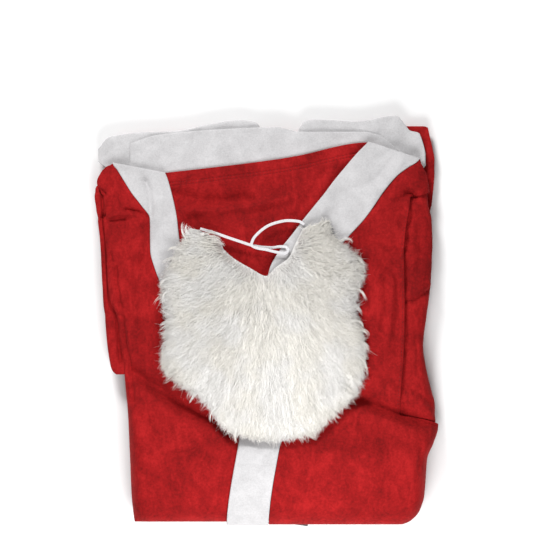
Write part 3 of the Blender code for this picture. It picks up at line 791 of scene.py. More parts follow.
class Finish:
    """A material while it is put together."""

    def __init__(self, name):
        self.material = bpy.data.materials.new(name)
        self.material.use_nodes = True
        self.nodes = self.material.node_tree.nodes
        self.links = self.material.node_tree.links
        self.shader = self.nodes["Principled BSDF"]
        self.place = self.nodes.new("ShaderNodeTexCoord").outputs["Object"]

    def put(self, socket, value):
        """Links a value to a socket, or sets the socket to it."""
        value = value.socket if isinstance(value, Value) else value
        if isinstance(value, bpy.types.NodeSocket):
            self.links.new(value, socket)
        else:
            socket.default_value = value

    def node(self, kind, settings, inputs):
        made = self.nodes.new(kind)
        for name, setting in settings.items():
            setattr(made, name, setting)
        for name, value in inputs.items():
            self.put(made.inputs[name], value)
        return made

    def noise(self, scale, detail=2.0, roughness=0.5, distortion=0.0, place=None):
        """Uneven grey, from 0 to 1, with a scale in lumps per metre."""
        inputs = {
            "Vector": place or self.place,
            "Scale": scale,
            "Detail": detail,
            "Roughness": roughness,
            "Distortion": distortion,
        }
        return Value(self, self.node("ShaderNodeTexNoise", {}, inputs).outputs[0])

    def stretched(self, factors, turn=(0.0, 0.0, 0.0)):
        """The place on the surface, turned and then drawn out."""
        made = self.node("ShaderNodeMapping", {}, {"Vector": self.place, "Scale": factors, "Rotation": turn})
        return made.outputs[0]

    def blend(self, first, second, factor):
        """A colour between two others."""
        made = self.node("ShaderNodeMix", {"data_type": "RGBA"}, {"Factor": factor, 6: first, 7: second})
        return made.outputs[2]

    def attribute(self, name):
        made = self.node("ShaderNodeAttribute", {"attribute_name": name}, {})
        return Value(self, made.outputs["Fac"])

    def bump(self, height, distance, strength=1.0):
        inputs = {"Height": height, "Distance": distance, "Strength": strength}
        self.put(self.shader.inputs["Normal"], self.node("ShaderNodeBump", {}, inputs).outputs[0])

    def set(self, **values):
        """Sets or links the shader's own sockets."""
        for name, value in values.items():
            self.put(self.shader.inputs[name.replace("_", " ").title().replace("Ior", "IOR")], value)
        return self.material


def colour(values, share=1.0):
    """A colour with its alpha, made darker or lighter by a share."""
    return (*(min(channel * share, 1.0) for channel in values), 1.0)


def red_fleece(name="red_fleece"):
    """Brushed red cloth: its nap lies in patches, so it is mottled and has a soft sheen."""
    red = bpy.context.scene.suit_cloth.red
    finish = Finish(name)
    patches = finish.noise(30, 4, 0.6, 0.6)
    brushed = finish.noise(120, 3, 0.6, 1.0, finish.stretched((1.0, 0.4, 1.0), (0, 0, 0.5)))
    pile = finish.noise(420, 3, 0.65)
    grain = finish.noise(1500, 2, 0.6)
    shade = patches * 0.34 + brushed * 0.24 + pile * 0.24 + grain * 0.18
    dark = finish.blend(colour(red, 0.6), colour(red, 0.98), shade.above(0.4, 0.5))
    raised = (min(red[0] * 1.4, 1.0), red[1] * 1.8, red[2] * 1.7, 1.0)
    lit = finish.blend(dark, raised, shade.above(0.5, 0.6))
    finish.bump(patches * 0.9 + pile * 0.35 + grain * 0.2, 0.0011, 0.55)
    finish.put(finish.shader.inputs["Roughness"], shade * 0.2 + 0.78)
    return finish.set(
        base_color=lit,
        sheen_weight=0.12,
        sheen_roughness=0.4,
        sheen_tint=(1.0, 0.16, 0.14, 1.0),
        specular_ior_level=0.12,
    )


def white_felt(name="white_felt"):
    """Soft white felt with a faint mottled grain."""
    white = bpy.context.scene.suit_cloth.white
    finish = Finish(name)
    clouds = finish.noise(60, 3, 0.6, 0.5)
    grain = finish.noise(650, 3, 0.7)
    fibre = finish.noise(2200, 2, 0.6)
    shade = clouds * 0.35 + grain * 0.4 + fibre * 0.25
    lit = finish.blend(colour(white, 0.84), colour(white, 1.10), shade.above(0.38, 0.60))
    finish.bump(clouds * 0.6 + grain * 0.45 + fibre * 0.2, 0.0009, 0.5)
    finish.put(finish.shader.inputs["Roughness"], grain * 0.12 + 0.84)
    return finish.set(base_color=lit, sheen_weight=0.25, sheen_roughness=0.5, specular_ior_level=0.25)


def knit_backing(name="beard_backing"):
    """Knitted back of the fur: fine rows of loops."""
    finish = Finish(name)
    rows = finish.noise(1100, 1, 0.5, 0.0, finish.stretched((1.0, 0.25, 1.0)))
    lit = finish.blend((0.62, 0.58, 0.51, 1.0), (0.80, 0.77, 0.71, 1.0), rows.above(0.4, 0.6))
    finish.bump(rows, 0.0005, 0.6)
    return finish.set(base_color=lit, roughness=0.9, specular_ior_level=0.2)


def fur_pile(name, share):
    """The fur's hairs, with painted shade that darkens them towards their roots, deep in the pile. The shade
    of each hair, its own random tone with that painted shade, is an attribute of the mesh.
    """
    settings = bpy.context.scene.suit_fur
    finish = Finish(name)
    shade = finish.attribute("shade")
    tint = finish.noise(26, 2, 0.5)
    tip = settings.colour
    yellowed = colour((tip[0], tip[1] * 0.985, tip[2] * 0.94), share)
    # Painted shade: the roots' colour is the tips' colour darkened, for the shade low in the fur's pile.
    root = colour((tip[0] * 0.74, tip[1] * 0.725, tip[2] * 0.71))
    warm = finish.blend(yellowed, colour(tip, share), tint.above(0.42, 0.6))
    return finish.set(
        base_color=finish.blend(root, warm, shade),
        roughness=0.6,
        sheen_weight=0.5,
        sheen_roughness=0.4,
        specular_ior_level=0.4,
    )


def fur_body(name="fur_body"):
    """What shows between the hairs: more fur, deeper down, painted darker than the hairs' tips for the shade
    among the hairs.
    """
    tip = bpy.context.scene.suit_fur.colour
    finish = Finish(name)
    streaks = finish.noise(700, 3, 0.7, 0.4, finish.stretched((1.0, 0.2, 1.0)))
    # Painted shade: the body is 0.78 to 0.96 of the tips' colour, standing in for the shade between the
    # hairs; the streaks vary it at random.
    lit = finish.blend(colour(tip, 0.78), colour(tip, 0.96), streaks.above(0.38, 0.62))
    finish.bump(streaks, 0.0012, 0.8)
    return finish.set(base_color=lit, roughness=0.85, sheen_weight=0.3, specular_ior_level=0.2)


def woven_elastic(name="woven_elastic"):
    """Flat white elastic, ribbed along and woven across."""
    finish = Finish(name)
    weave = finish.noise(2600, 1, 0.5)
    lit = finish.blend((0.58, 0.57, 0.60, 1.0), (0.80, 0.79, 0.80, 1.0), weave.above(0.35, 0.6))
    finish.bump(weave, 0.0003, 0.6)
    return finish.set(base_color=lit, roughness=0.7, specular_ior_level=0.35)


def coated_belt(name="coated_belt"):
    """Black coated strap with a fine leather grain."""
    black = bpy.context.scene.suit_cloth.belt
    finish = Finish(name)
    grain = finish.noise(900, 3, 0.6)
    scuffs = finish.noise(120, 3, 0.7)
    lit = finish.blend(colour(black), colour((0.035, 0.035, 0.037)), scuffs.above(0.55, 0.75))
    finish.bump(grain, 0.0004, 0.7)
    finish.put(finish.shader.inputs["Roughness"], grain * 0.25 + 0.34)
    return finish.set(base_color=lit, specular_ior_level=0.5)


def sewing_thread(name="red_thread"):
    """Twisted red thread."""
    red = bpy.context.scene.suit_cloth.red
    finish = Finish(name)
    twist = finish.noise(3000, 1, 0.5)
    lit = finish.blend(colour(red, 0.35), colour(red, 0.8), twist)
    return finish.set(base_color=lit, roughness=0.6, specular_ior_level=0.4)


def finish_of(maker):
    """The material that a function makes, made once."""
    name = maker.__defaults__[0]
    return bpy.data.materials.get(name) or maker()


def belongs(made, finish, nodes):
    """Gives a piece its finish and its place in the frame."""
    made.data.materials.append(finish)
    made.data.shade_smooth()
    bpy.context.scene.collection.objects.link(made)
    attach(made, "root")
    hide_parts(*nodes)
    return made


def keep(name, shaper, finish, nodes):
    """Turns a bmesh into a piece of the suit."""
    shaper.normal_update()
    bmesh.ops.recalc_face_normals(shaper, faces=shaper.faces)
    if shaper.calc_volume(signed=True) < 0:
        bmesh.ops.reverse_faces(shaper, faces=shaper.faces)
    mesh = bpy.data.meshes.new(name)
    shaper.to_mesh(mesh)
    shaper.free()
    return belongs(bpy.data.objects.new(name, mesh), finish, nodes)


def wall(name, rows, columns, point, finish, nodes):
    """A closed wall on a grid.

    point(row, column, layer) gives its places in millimetres, with layer 0 its inner face and 1 its outer.
    """
    cloth = bmesh.new()
    bmesh.ops.create_grid(cloth, x_segments=columns - 1, y_segments=rows - 1, size=1.0)
    raised = bmesh.ops.extrude_face_region(cloth, geom=list(cloth.faces))
    outer = [item for item in raised["geom"] if isinstance(item, bmesh.types.BMVert)]
    bmesh.ops.translate(cloth, verts=outer, vec=(0, 0, 1))
    grid = np.array([vertex.co for vertex in cloth.verts])
    column = np.rint((grid[:, 0] + 1) / 2 * (columns - 1)).astype(int)
    row = np.rint((grid[:, 1] + 1) / 2 * (rows - 1)).astype(int)
    placed = point(row, column, np.rint(grid[:, 2]).astype(int)) * MM
    for vertex, at in zip(cloth.verts, placed):
        vertex.co = at
    return keep(name, cloth, finish, nodes)


def spread(length, cell, thickness, fine=()):
    """Places along a length, a cell apart.

    They are closer at both ends, where the cloth's edge is round, and at the fine places.
    """
    close = np.array([0.0, 0.06, 0.2, 0.38]) * thickness
    inner = np.linspace(0.62 * thickness, length - 0.62 * thickness, max(3, math.ceil(length / cell)))
    for middle in fine:
        inner = inner[np.abs(inner - middle) > 1.6]
        inner = np.concatenate([inner, middle + np.array([-1.4, -0.8, -0.4, 0.0, 0.4, 0.8, 1.4])])
    return np.sort(np.concatenate([close, inner, length - close]))


def rim(distance, thickness):
    """Half the wall at a distance from the cloth's edge, which is round."""
    along = np.clip(distance / (thickness / 2), 0.0, 1.0)
    return thickness / 2 * np.sqrt(np.maximum(1 - (1 - along) ** 2, 0.004))


def panel(
    name, lines, depth, thickness, finish, base=None, creases=(), fine=(), fine_rows=(), bulge=0.0
):
    """Cloth between two edges. lines holds for each row its start (x, y) and end (x, y) over the pile.

    base gives for each y the depth that follows the outline's sides. fine and fine_rows are places across
    and down the cloth with a closer mesh. bulge bows the first row outwards.
    """
    cell = bpy.context.scene.suit_cloth.cell / MM
    keys = np.array([[*start, *end] for start, end in lines], float)
    row_widths = np.hypot(np.diff(keys[:, 0::2]), np.diff(keys[:, 1::2]))
    moved = np.maximum(
        np.hypot(np.diff(keys[:, 0]), np.diff(keys[:, 1])), np.hypot(np.diff(keys[:, 2]), np.diff(keys[:, 3]))
    )
    travelled = np.concatenate([[0.0], np.cumsum(moved)])
    table = np.column_stack([travelled, keys])
    rows = spread(travelled[-1], cell, thickness, fine_rows)
    x0, y0, x1, y1 = (smooth(table, column)(rows) for column in (1, 2, 3, 4))
    widths = np.hypot(x1 - x0, y1 - y0)
    width = float(row_widths.mean())
    fractions = spread(width, cell, thickness, fine) / width

    def point(row, column, layer):
        t = fractions[column]
        x, y = mix(x0[row], x1[row], t), mix(y0[row], y1[row], t)
        y = y + bulge * np.sin(np.pi * np.minimum(1.15 * t, 1.0)) ** 1.5 * np.exp(-rows[row] / 9.0)
        edge = np.minimum(
            np.minimum(t, 1 - t) * np.minimum(widths[row], width), np.minimum(rows[row], rows[-1] - rows[row])
        )
        half = rim(edge, thickness)
        wall_depth = depth + thickness / 2 + np.where(layer == 1, -half, half)
        follows = depth if base is None else base(y)
        return place(x, y, wall_depth - folded(x, y, creases, CREASE), follows)

    return wall(f"{name}_cloth", len(rows), len(fractions), point, finish, [name])


def body_rows():
    """Rows of the fronts and trims from the chest down and round the bottom fold."""
    return [*SHARED_ROWS, *LOWER_ROWS, *(fold_row(angle) for angle in FOLD_ANGLES)]


def plan_row(y):
    """Where a row lies once it is turned round the bottom fold."""
    turn = max(0.0, (BOTTOM + FOLD_RADIUS - y) / FOLD_RADIUS)
    return y if turn == 0.0 else BOTTOM + FOLD_RADIUS - FOLD_RADIUS * math.sin(turn)


def side_angle(y, free_from, free_to):
    """How far the cloth turns over a side.

    It turns less where it rests on a sleeve, and least in the corner of the fold.
    """
    share = np.clip((free_from - y) / (free_from - free_to), 0.0, 1.0)
    turn = np.maximum(0.0, (BOTTOM + FOLD_RADIUS - y) / FOLD_RADIUS)
    free = np.where(y < 135, 122, 84)
    return mix(62, mix(90, free, np.maximum(np.cos(turn), 0.0)), share)


def make_fronts():
    """The two red fronts, from the shoulders down and round the bottom fold."""
    outer_left, outer_right = smooth(LEFT_TRIM, 1), smooth(RIGHT_TRIM, 2)
    armhole = smooth(RIGHT_ARMHOLE, 1)
    left_lines, right_lines = [], []
    for y in [*LEFT_SHOULDER_ROWS, *body_rows()]:
        low = y - SHOULDER * math.exp((y - LEFT_SHOULDER_ROWS[0]) / SHOULDER_REACH)
        start = side_end(plan_row(low), -1, side_angle(y, *LEFT_FREE))
        left_lines.append(((start, low), (outer_left(y) - SEAM, y)))
    for y in sorted({*RIGHT_SHOULDER_ROWS, *CAP_ROWS, *body_rows()}, reverse=True):
        low = y - SHOULDER * math.exp((y - RIGHT_SHOULDER_ROWS[0]) / SHOULDER_REACH)
        over_sleeve = min(max((y + 106) / 12, 0.0), 1.0) * min(max((131 - y) / 7, 0.0), 1.0)
        end = mix(side_end(plan_row(y), 1, side_angle(y, *RIGHT_FREE)), armhole(y), over_sleeve)
        right_lines.append(((outer_right(y) + SEAM, y), (end, low)))
    red = finish_of(red_fleece)
    left = panel(
        "jacket_front_left",
        left_lines,
        DEPTH_LEFT,
        CLOTH,
        red,
        creases=LEFT_CREASES,
        fine_rows=[LEFT_SHOULDER_ROWS[0] - y for y in LEFT_CREASE_ROWS],
        bulge=LEFT_BULGE,
    )
    right = panel(
        "jacket_front_right", right_lines, DEPTH_RIGHT, CLOTH, red, creases=RIGHT_CREASES
    )
    return left, right


def make_trims():
    """The white trims down both fronts."""
    outer, inner = smooth(LEFT_TRIM, 1), smooth(LEFT_TRIM, 2)
    left = [((outer(low), low), (x, y)) for x, y, low in LEFT_TRIM_TOP]
    left += [((outer(y), y), (inner(y), y)) for y in SHARED_ROWS]
    white = finish_of(white_felt)
    low = panel(
        "jacket_trim_left", left, DEPTH_LEFT_TRIM, TRIM, white, creases=LEFT_TRIM_CREASES
    )
    inner, outer = smooth(RIGHT_TRIM, 1), smooth(RIGHT_TRIM, 2)
    right = [((x, y), (outer(low), low)) for x, y, low in RIGHT_TRIM_TOP]
    right += [((inner(y), y), (outer(y), y)) for y in body_rows()]
    high = panel(
        "jacket_trim_right",
        right,
        DEPTH_RIGHT_TRIM,
        TRIM,
        white,
        base=lambda y: DEPTH_RIGHT,
        creases=RIGHT_TRIM_CREASES,
    )
    return low, high


def make_sleeves():
    """The folded sleeves that look out at both sides."""
    armhole = smooth(RIGHT_ARMHOLE, 1)
    red = finish_of(red_fleece)
    shared = [y for y in SHARED_ROWS if -103 <= y <= 130]
    lines = [((armhole(y) - 11, y), (side_end(y, 1, 125), y)) for y in shared]

    def base(y):
        """0 at both ends, where the sleeve follows the outline itself."""
        return DEPTH_RIGHT_SLEEVE * (1 - np.clip((y - 104) / 12, 0, 1) - np.clip((-79 - y) / 15, 0, 1))

    right = panel(
        "jacket_sleeve_right",
        lines,
        DEPTH_RIGHT_SLEEVE,
        CLOTH,
        red,
        base=base,
        creases=RIGHT_SLEEVE_CREASES,
    )
    cell = bpy.context.scene.suit_cloth.cell / MM
    rows = SLEEVE_TOP - spread(SLEEVE_TOP - SLEEVE_END, cell, CLOTH)
    across = np.concatenate([np.linspace(0, 2, 12)[:-1], 2 + np.linspace(0, 150, 26) / 30])

    def point(row, column, layer):
        step = across[column]
        near_top = np.exp(-(SLEEVE_TOP - rows[row]) / 8)
        y = rows[row] - 2.5 * step**1.5 * near_top * (step < 3) - 13 * (step >= 3) * near_top
        flat_x = mix(left_edge(y) + 4.0, left_sleeve_edge(y), np.clip(step / 2, 0, 1))
        crease = folded(flat_x, y, LEFT_SLEEVE_CREASES, CREASE)
        over = side_end(y, -1, side_angle(y, *LEFT_FREE))
        front_end = place(over, y, DEPTH_LEFT + CLOTH, DEPTH_LEFT)[..., 2]
        outermost = len(across) - 1
        ends = np.minimum(rows[row] - rows[-1], rows[0] - rows[row])
        ends = np.minimum(ends, np.minimum(column, outermost - column) * 1.0)
        half = rim(ends, CLOTH)
        inward = CLOTH / 2 + np.where(layer == 1, -half, half)
        high = front_end - GAP - inward + crease
        rounded = 6.0 * np.exp(-(SLEEVE_TOP - rows[row]) / 5.0)
        rounded = rounded + 5.0 * np.exp(-(rows[row] - SLEEVE_END) / 3.5)
        outside = left_sleeve_edge(y) + 4.5 + rounded
        middle = mix(front_end - GAP, TUCKED, 0.5)
        angle = np.radians(np.maximum(step - 2, 0.0) * 30)
        x_flat = mix(left_edge(y) + 4.0, outside, np.minimum(step / 2, 1.0))
        x = np.where(step < 2, x_flat, outside - (4.5 - inward + 0.3 * crease) * np.sin(angle))
        z = np.where(step < 2, high, middle + (high - middle) * np.cos(angle))
        return np.stack([x, y, z], axis=-1)

    name = "jacket_sleeve_left"
    left = wall(f"{name}_cloth", len(rows), len(across), point, red, [name])
    return left, right


def make_band(name, table, depth, thickness, finish, swell=1.0, level=0.0):
    """A flat band across the neck end, from a table of its edges. It lies level below the given y."""
    low, high, covered = smooth(table, 1), smooth(table, 2), smooth(BACK_NECK, 1)
    cell = bpy.context.scene.suit_cloth.cell / MM
    xs = table[0][0] + spread(table[-1][0] - table[0][0], cell, thickness)
    height = float(np.mean(high(xs) - low(xs)))
    fractions = spread(height, cell, thickness) / height

    def point(row, column, layer):
        x, t = xs[column], fractions[row]
        y = mix(low(x), high(x), t)
        edge = np.minimum(np.minimum(t, 1 - t) * height, np.minimum(x - xs[0], xs[-1] - x))
        half = rim(edge, thickness)
        uneven = 0.8 * slack(x, y) * swell * np.clip(edge / 6, 0, 1)
        under = 1.6 * np.clip((covered(x) - y) / 5, 0, 1)
        middle = crown(np.maximum(y, level)) - depth - thickness / 2
        z = middle + np.where(layer == 1, half, -half) + uneven - under
        return np.stack([x, y, z], axis=-1)

    return wall(f"{name}_cloth", len(fractions), len(xs), point, finish, [name])


def hem_line(up):
    """Points of one row of stitches along the back neck, up from the lower row."""
    edge = smooth(BACK_NECK, 1)
    xs = np.linspace(-128, 104, 30)
    return np.stack([xs, edge(xs) - SEAM - HEM + up], axis=-1)


def back_creases():
    """The back's creases and the grooves of its two rows of stitches."""
    grooves = tuple((-0.7, 0.9, hem_line(up).tolist()) for up in (0.0, HEM_ROWS))
    return (*BACK_CREASES, (0.5, 3.0, hem_line(-3.0).tolist()), *grooves)


def stitch_row(x, y, depth, creases):
    """Stitches along a line over the pile: the middle line of each, sunk into the cloth at both ends."""
    travelled = np.concatenate([[0.0], np.cumsum(np.hypot(np.diff(x), np.diff(y)))])
    count = int(travelled[-1] / STITCH[0])
    starts = (np.arange(count) + 0.1) * STITCH[0]
    at = starts[:, None] + np.array([0.0, 0.2, 0.5, 0.8, 1.0])[None] * STITCH[1]
    px, py = np.interp(at, travelled, x), np.interp(at, travelled, y)
    lift = np.array([-0.45, 0.02, 0.16, 0.02, -0.45])[None]
    return place(px, py, depth - folded(px, py, creases, CREASE) - lift, depth)


def make_stitches():
    """The thread of the hem inside the neck and of the right sleeve's seam."""
    rows = []
    creases = back_creases()
    for up in (0.0, HEM_ROWS):
        x, y = hem_line(up).T
        seen = x > -100
        rows.append(stitch_row(x[seen], y[seen], DEPTH_BACK, creases))
    y = np.linspace(112, -92, 120)
    x = smooth(RIGHT_ARMHOLE, 1)(y) - 2.4
    rows.append(stitch_row(x, y, DEPTH_RIGHT, RIGHT_CREASES))
    paths = np.concatenate(rows)
    plain = np.ones(len(paths))
    thread = finish_of(sewing_thread)
    radius = plain * STITCH[2]
    return strands("jacket_stitches", paths, radius, 0.0, plain, thread, ["jacket_back"])


def make_neck():
    """The back of the neck inside the jacket, the white band behind it, and the trousers' folded ends."""
    edge = smooth(BACK_NECK, 1)
    red, white = finish_of(red_fleece), finish_of(white_felt)
    xs = np.linspace(-138, 135, 40)
    lines = [((x, edge(x) - SEAM - BACK_LENGTH), (x, edge(x) - SEAM)) for x in xs]
    seams = (BACK_LENGTH - HEM, BACK_LENGTH - HEM + HEM_ROWS)
    creases = back_creases()
    back = panel("jacket_back", lines, DEPTH_BACK, CLOTH, red, creases=creases, fine=seams)
    depth = DEPTH_BACK + CLOTH + GAP
    band = make_band("jacket_neck_trim", NECK_BAND, depth, TRIM, white)
    depth += TRIM + GAP
    left = make_band("trouser_cuff_left", CUFF_LEFT, depth, CUFF, white)
    right = make_band("trouser_cuff_right", CUFF_RIGHT, depth, CUFF, white)
    leg = make_band("trouser_leg", LEG, depth + CUFF + GAP, CLOTH, red, 0.4, LEG_LEVEL)
    return back, band, left, right, leg


def make_layer(name, low, high, side, bottom, end, finish):
    """One folded layer under the jacket, with round folded edges that don't lie quite even."""
    cell = LAYER_CELLS * bpy.context.scene.suit_cloth.cell / MM
    start = BOTTOM + bottom
    ys = start + spread(end - start, cell, LAYER_EDGE)
    fractions = spread(LAYER_WIDTH, cell, LAYER_EDGE) / LAYER_WIDTH

    def point(row, column, layer):
        y, t = ys[row], fractions[column]
        wave = 0.9 * np.sin(y / 21.0 + side) + 0.6 * np.sin(y / 9.0 + 2 * side)
        x0 = left_edge(y) + side + wave
        x1 = np.minimum(right_edge(y), LAYERS_RIGHT) - side - wave
        corner = 6.0 * np.exp(-np.minimum(y - start, end - y) / 3.0)
        x = mix(x0 + corner, x1 - corner, t)
        ripple = 0.8 * np.sin(x / 23.0 + side) + 0.5 * np.sin(x / 11.0)
        ripple = ripple * np.exp(-np.minimum(y - start, end - y) / 20)
        y = y + np.where(y < (start + end) / 2, 1, -1) * np.abs(ripple)
        bottom_z, top_z = low(x, y), high(x, y)
        edge = np.minimum(np.minimum(t, 1 - t) * LAYER_WIDTH, np.minimum(ys[row] - start, end - ys[row]))
        half = rim(edge, np.maximum(top_z - bottom_z, 0.6))
        z = (bottom_z + top_z) / 2 + np.where(layer == 1, half, -half)
        return np.stack([x, y, z], axis=-1)

    return wall(name, len(ys), len(fractions), point, finish, ["folded_layers"])


def make_layers():
    """The folded trousers and jacket back under the fronts, as a stack of layers."""
    red = finish_of(red_fleece)
    made = []
    for number, (low, high, side, bottom, end) in enumerate(LOW_LAYERS, 1):
        made.append(
            make_layer(
                f"lower_layer_{number}",
                lambda x, y, z=low: np.full(np.shape(x), z),
                lambda x, y, z=high: np.full(np.shape(x), z),
                side,
                bottom,
                end,
                red,
            )
        )
    lowest = LOW_LAYERS[-1][1] + 0.5
    hollows = [crease for crease in BACK_CREASES if crease[0] < 0]

    def level(share):
        def height(x, y):
            return mix(lowest, top(x, y) + folded(x, y, hollows, CREASE) - DEPTH_CORE - 1.5, share)

        return height

    for number in range(INNER_LAYERS):
        low, high = number / INNER_LAYERS, (number + 0.88) / INNER_LAYERS
        side = SIDE_RADIUS - 5.5 * math.sin(math.pi * (low + high) / 2) - number % 2
        bottom = FOLD_RADIUS - 14 * math.sin(math.pi * (low + high) / 2)
        end = INNER_END - 3.0 * (number % 2)
        made.append(make_layer(f"inner_layer_{number + 1}", level(low), level(high), side, bottom, end, red))
    return made


class Fur:
    """Where the fur is over the plan: its body's height on a grid of one-millimetre cells, and its lie."""

    low = (-125.0, -135.0)
    size = (250, 260)

    def __init__(self):
        self.x_curves = [smooth(BEARD_INNER, 1), smooth(BEARD_OUTER, 1)]
        self.y_curves = [smooth(BEARD_INNER, 2), smooth(BEARD_OUTER, 2)]
        self.heights = smooth(FUR_HEIGHT, 1)
        along, out = np.meshgrid(np.linspace(0, 1, 1600), np.linspace(0, 1, 420))
        x, y = self.plan(along, out)
        column = np.rint(x - self.low[0]).astype(int)
        row = np.rint(y - self.low[1]).astype(int)
        self.body = np.zeros(self.size)
        np.maximum.at(self.body, (column, row), self.height(along, out, x, y))
        self.inside = (self.body > 0).astype(float)
        self.rooted = self.blurred(self.inside, 3)
        self.drape = self.body.copy()
        for _ in range(3):
            self.drape = self.blurred(self.drape, 3)

    @staticmethod
    def blurred(grid, reach):
        padded = np.pad(grid, reach)
        count = 2 * reach + 1
        rows = sum(padded[i : i + grid.shape[0]] for i in range(count)) / count
        return sum(rows[:, i : i + grid.shape[1]] for i in range(count)) / count

    def plan(self, along, out):
        """A place on the beard: along it from ear to ear, out from the mouth to the tips."""
        x = mix(self.x_curves[0](along), self.x_curves[1](along), out)
        y = mix(self.y_curves[0](along), self.y_curves[1](along), out)
        return x, y

    def height(self, along, out, x, y):
        """Height of the fur's body over the backing."""
        end = np.minimum(along, 1 - along)
        plain = 0.86 * self.heights(out) * (1 - 0.45 * np.exp(-end / 0.05))
        return np.maximum(plain + folded(x, y, FUR_LUMPS), 1.5)

    def look(self, grid, x, y):
        """The grid's value at each place, between its cells."""
        u = np.clip(x - self.low[0], 0, self.size[0] - 1.001)
        v = np.clip(y - self.low[1], 0, self.size[1] - 1.001)
        i, j = u.astype(int), v.astype(int)
        u, v = u - i, v - j
        near = mix(grid[i, j], grid[i + 1, j], u)
        far = mix(grid[i, j + 1], grid[i + 1, j + 1], u)
        return mix(near, far, v)

    @staticmethod
    def lie(x, y):
        """Direction of the fur as a unit vector, length of its hairs and how much they curl."""
        table = np.array(FUR_LIE, float)
        square = (x[..., None] - table[:, 0]) ** 2 + (y[..., None] - table[:, 1]) ** 2
        weight = 1 / (square + 60.0) ** 1.6
        weight /= weight.sum(axis=-1, keepdims=True)
        angle = np.radians(table[:, 2])
        across, up = (weight * np.cos(angle)).sum(-1), (weight * np.sin(angle)).sum(-1)
        size = np.hypot(across, up)
        return across / size, up / size, (weight * table[:, 3]).sum(-1), (weight * table[:, 4]).sum(-1)


def strands(name, paths, radius, taper, shade, finish, nodes):
    """One closed three-sided strand along each path, all as one mesh.

    taper narrows them along their length.
    """
    tangent = np.gradient(paths, axis=1)
    tangent /= np.linalg.norm(tangent, axis=2, keepdims=True)
    side = np.cross(tangent, (0.0, 0.0, 1.0))
    side /= np.maximum(np.linalg.norm(side, axis=2, keepdims=True), 1e-6)
    normal = np.cross(side, tangent)
    count, points = paths.shape[:2]
    rings = points - 1
    taper = np.linspace(1.0, 0.0, points)[:rings] ** taper
    around = np.radians([90, 210, 330])
    turned = np.cos(around)[:, None] * side[:, :rings, None]
    turned = turned + np.sin(around)[:, None] * normal[:, :rings, None]
    sides = paths[:, :rings, None] + turned * (radius[:, None] * taper)[:, :, None, None]
    vertices = np.concatenate([sides.reshape(count, rings * 3, 3), paths[:, -1:]], axis=1)
    faces = [(0, 1, 2)]
    for ring in range(rings - 1):
        for k in range(3):
            a, b = 3 * ring + k, 3 * ring + (k + 1) % 3
            faces += [(a, a + 3, b), (b, a + 3, b + 3)]
    last, tip = 3 * (rings - 1), 3 * rings
    faces += [(last + k, tip, last + (k + 1) % 3) for k in range(3)]
    every = (np.array(faces)[None] + (np.arange(count) * (tip + 1))[:, None, None]).reshape(-1, 3)
    mesh = bpy.data.meshes.new(name)
    mesh.from_pydata(vertices.reshape(-1, 3) * MM, [], every)
    along = np.append(np.repeat(np.linspace(0, 1, points)[:rings], 3), 1.0)
    # Painted shade: each strand's shade drops to 0.72 of its value at the root and rises to its full value at
    # the tip, for the shade deep in the fur's pile. Only the hairs' finish reads it as colour.
    values = np.clip(shade[:, None] * (0.72 + 0.28 * along[None] ** 0.5), 0, 1)
    attribute = mesh.attributes.new("shade", "FLOAT", "POINT")
    attribute.data.foreach_set("value", values.astype(np.float32).ravel())
    mesh.validate()
    return belongs(bpy.data.objects.new(name, mesh), finish, nodes)


def lock_paths(fur, rng, x, y, points, shortest):
    """The middle line of each lock of hair: it follows the fur's lie and ends near the beard's outline."""
    _, _, length, curl = fur.lie(x, y)
    length = length * rng.uniform(0.9, 1.6, len(x))
    turn = rng.normal(0, 0.13, len(x)) * (1 + curl)
    bend = rng.normal(0, 0.55, len(x)) * (0.6 + curl)
    walk_x, walk_y = [x], [y]
    fine = 24
    reach = np.zeros(len(x))
    within = np.ones(len(x), bool)
    for step in range(fine):
        across, up, _, _ = fur.lie(walk_x[-1], walk_y[-1])
        angle = np.arctan2(up, across) + turn + bend * step / fine
        walk_x.append(walk_x[-1] + np.cos(angle) * length / fine)
        walk_y.append(walk_y[-1] + np.sin(angle) * length / fine)
        within &= fur.look(fur.rooted, walk_x[-1], walk_y[-1]) > LOCK_END
        reach += within
    over = rng.gamma(1.1, 1.9, len(x)) + 0.2
    share = np.clip((reach * length / fine + over) / length, shortest / length, 1.0)
    at = np.linspace(0, 1, points)[None] * share[:, None] * fine
    i = np.minimum(at.astype(int), fine - 1)
    part = at - i
    walk_x, walk_y = np.array(walk_x).T, np.array(walk_y).T
    rows = np.arange(len(x))[:, None]
    path_x = mix(walk_x[rows, i], walk_x[rows, i + 1], part)
    path_y = mix(walk_y[rows, i], walk_y[rows, i + 1], part)
    return path_x, path_y, curl


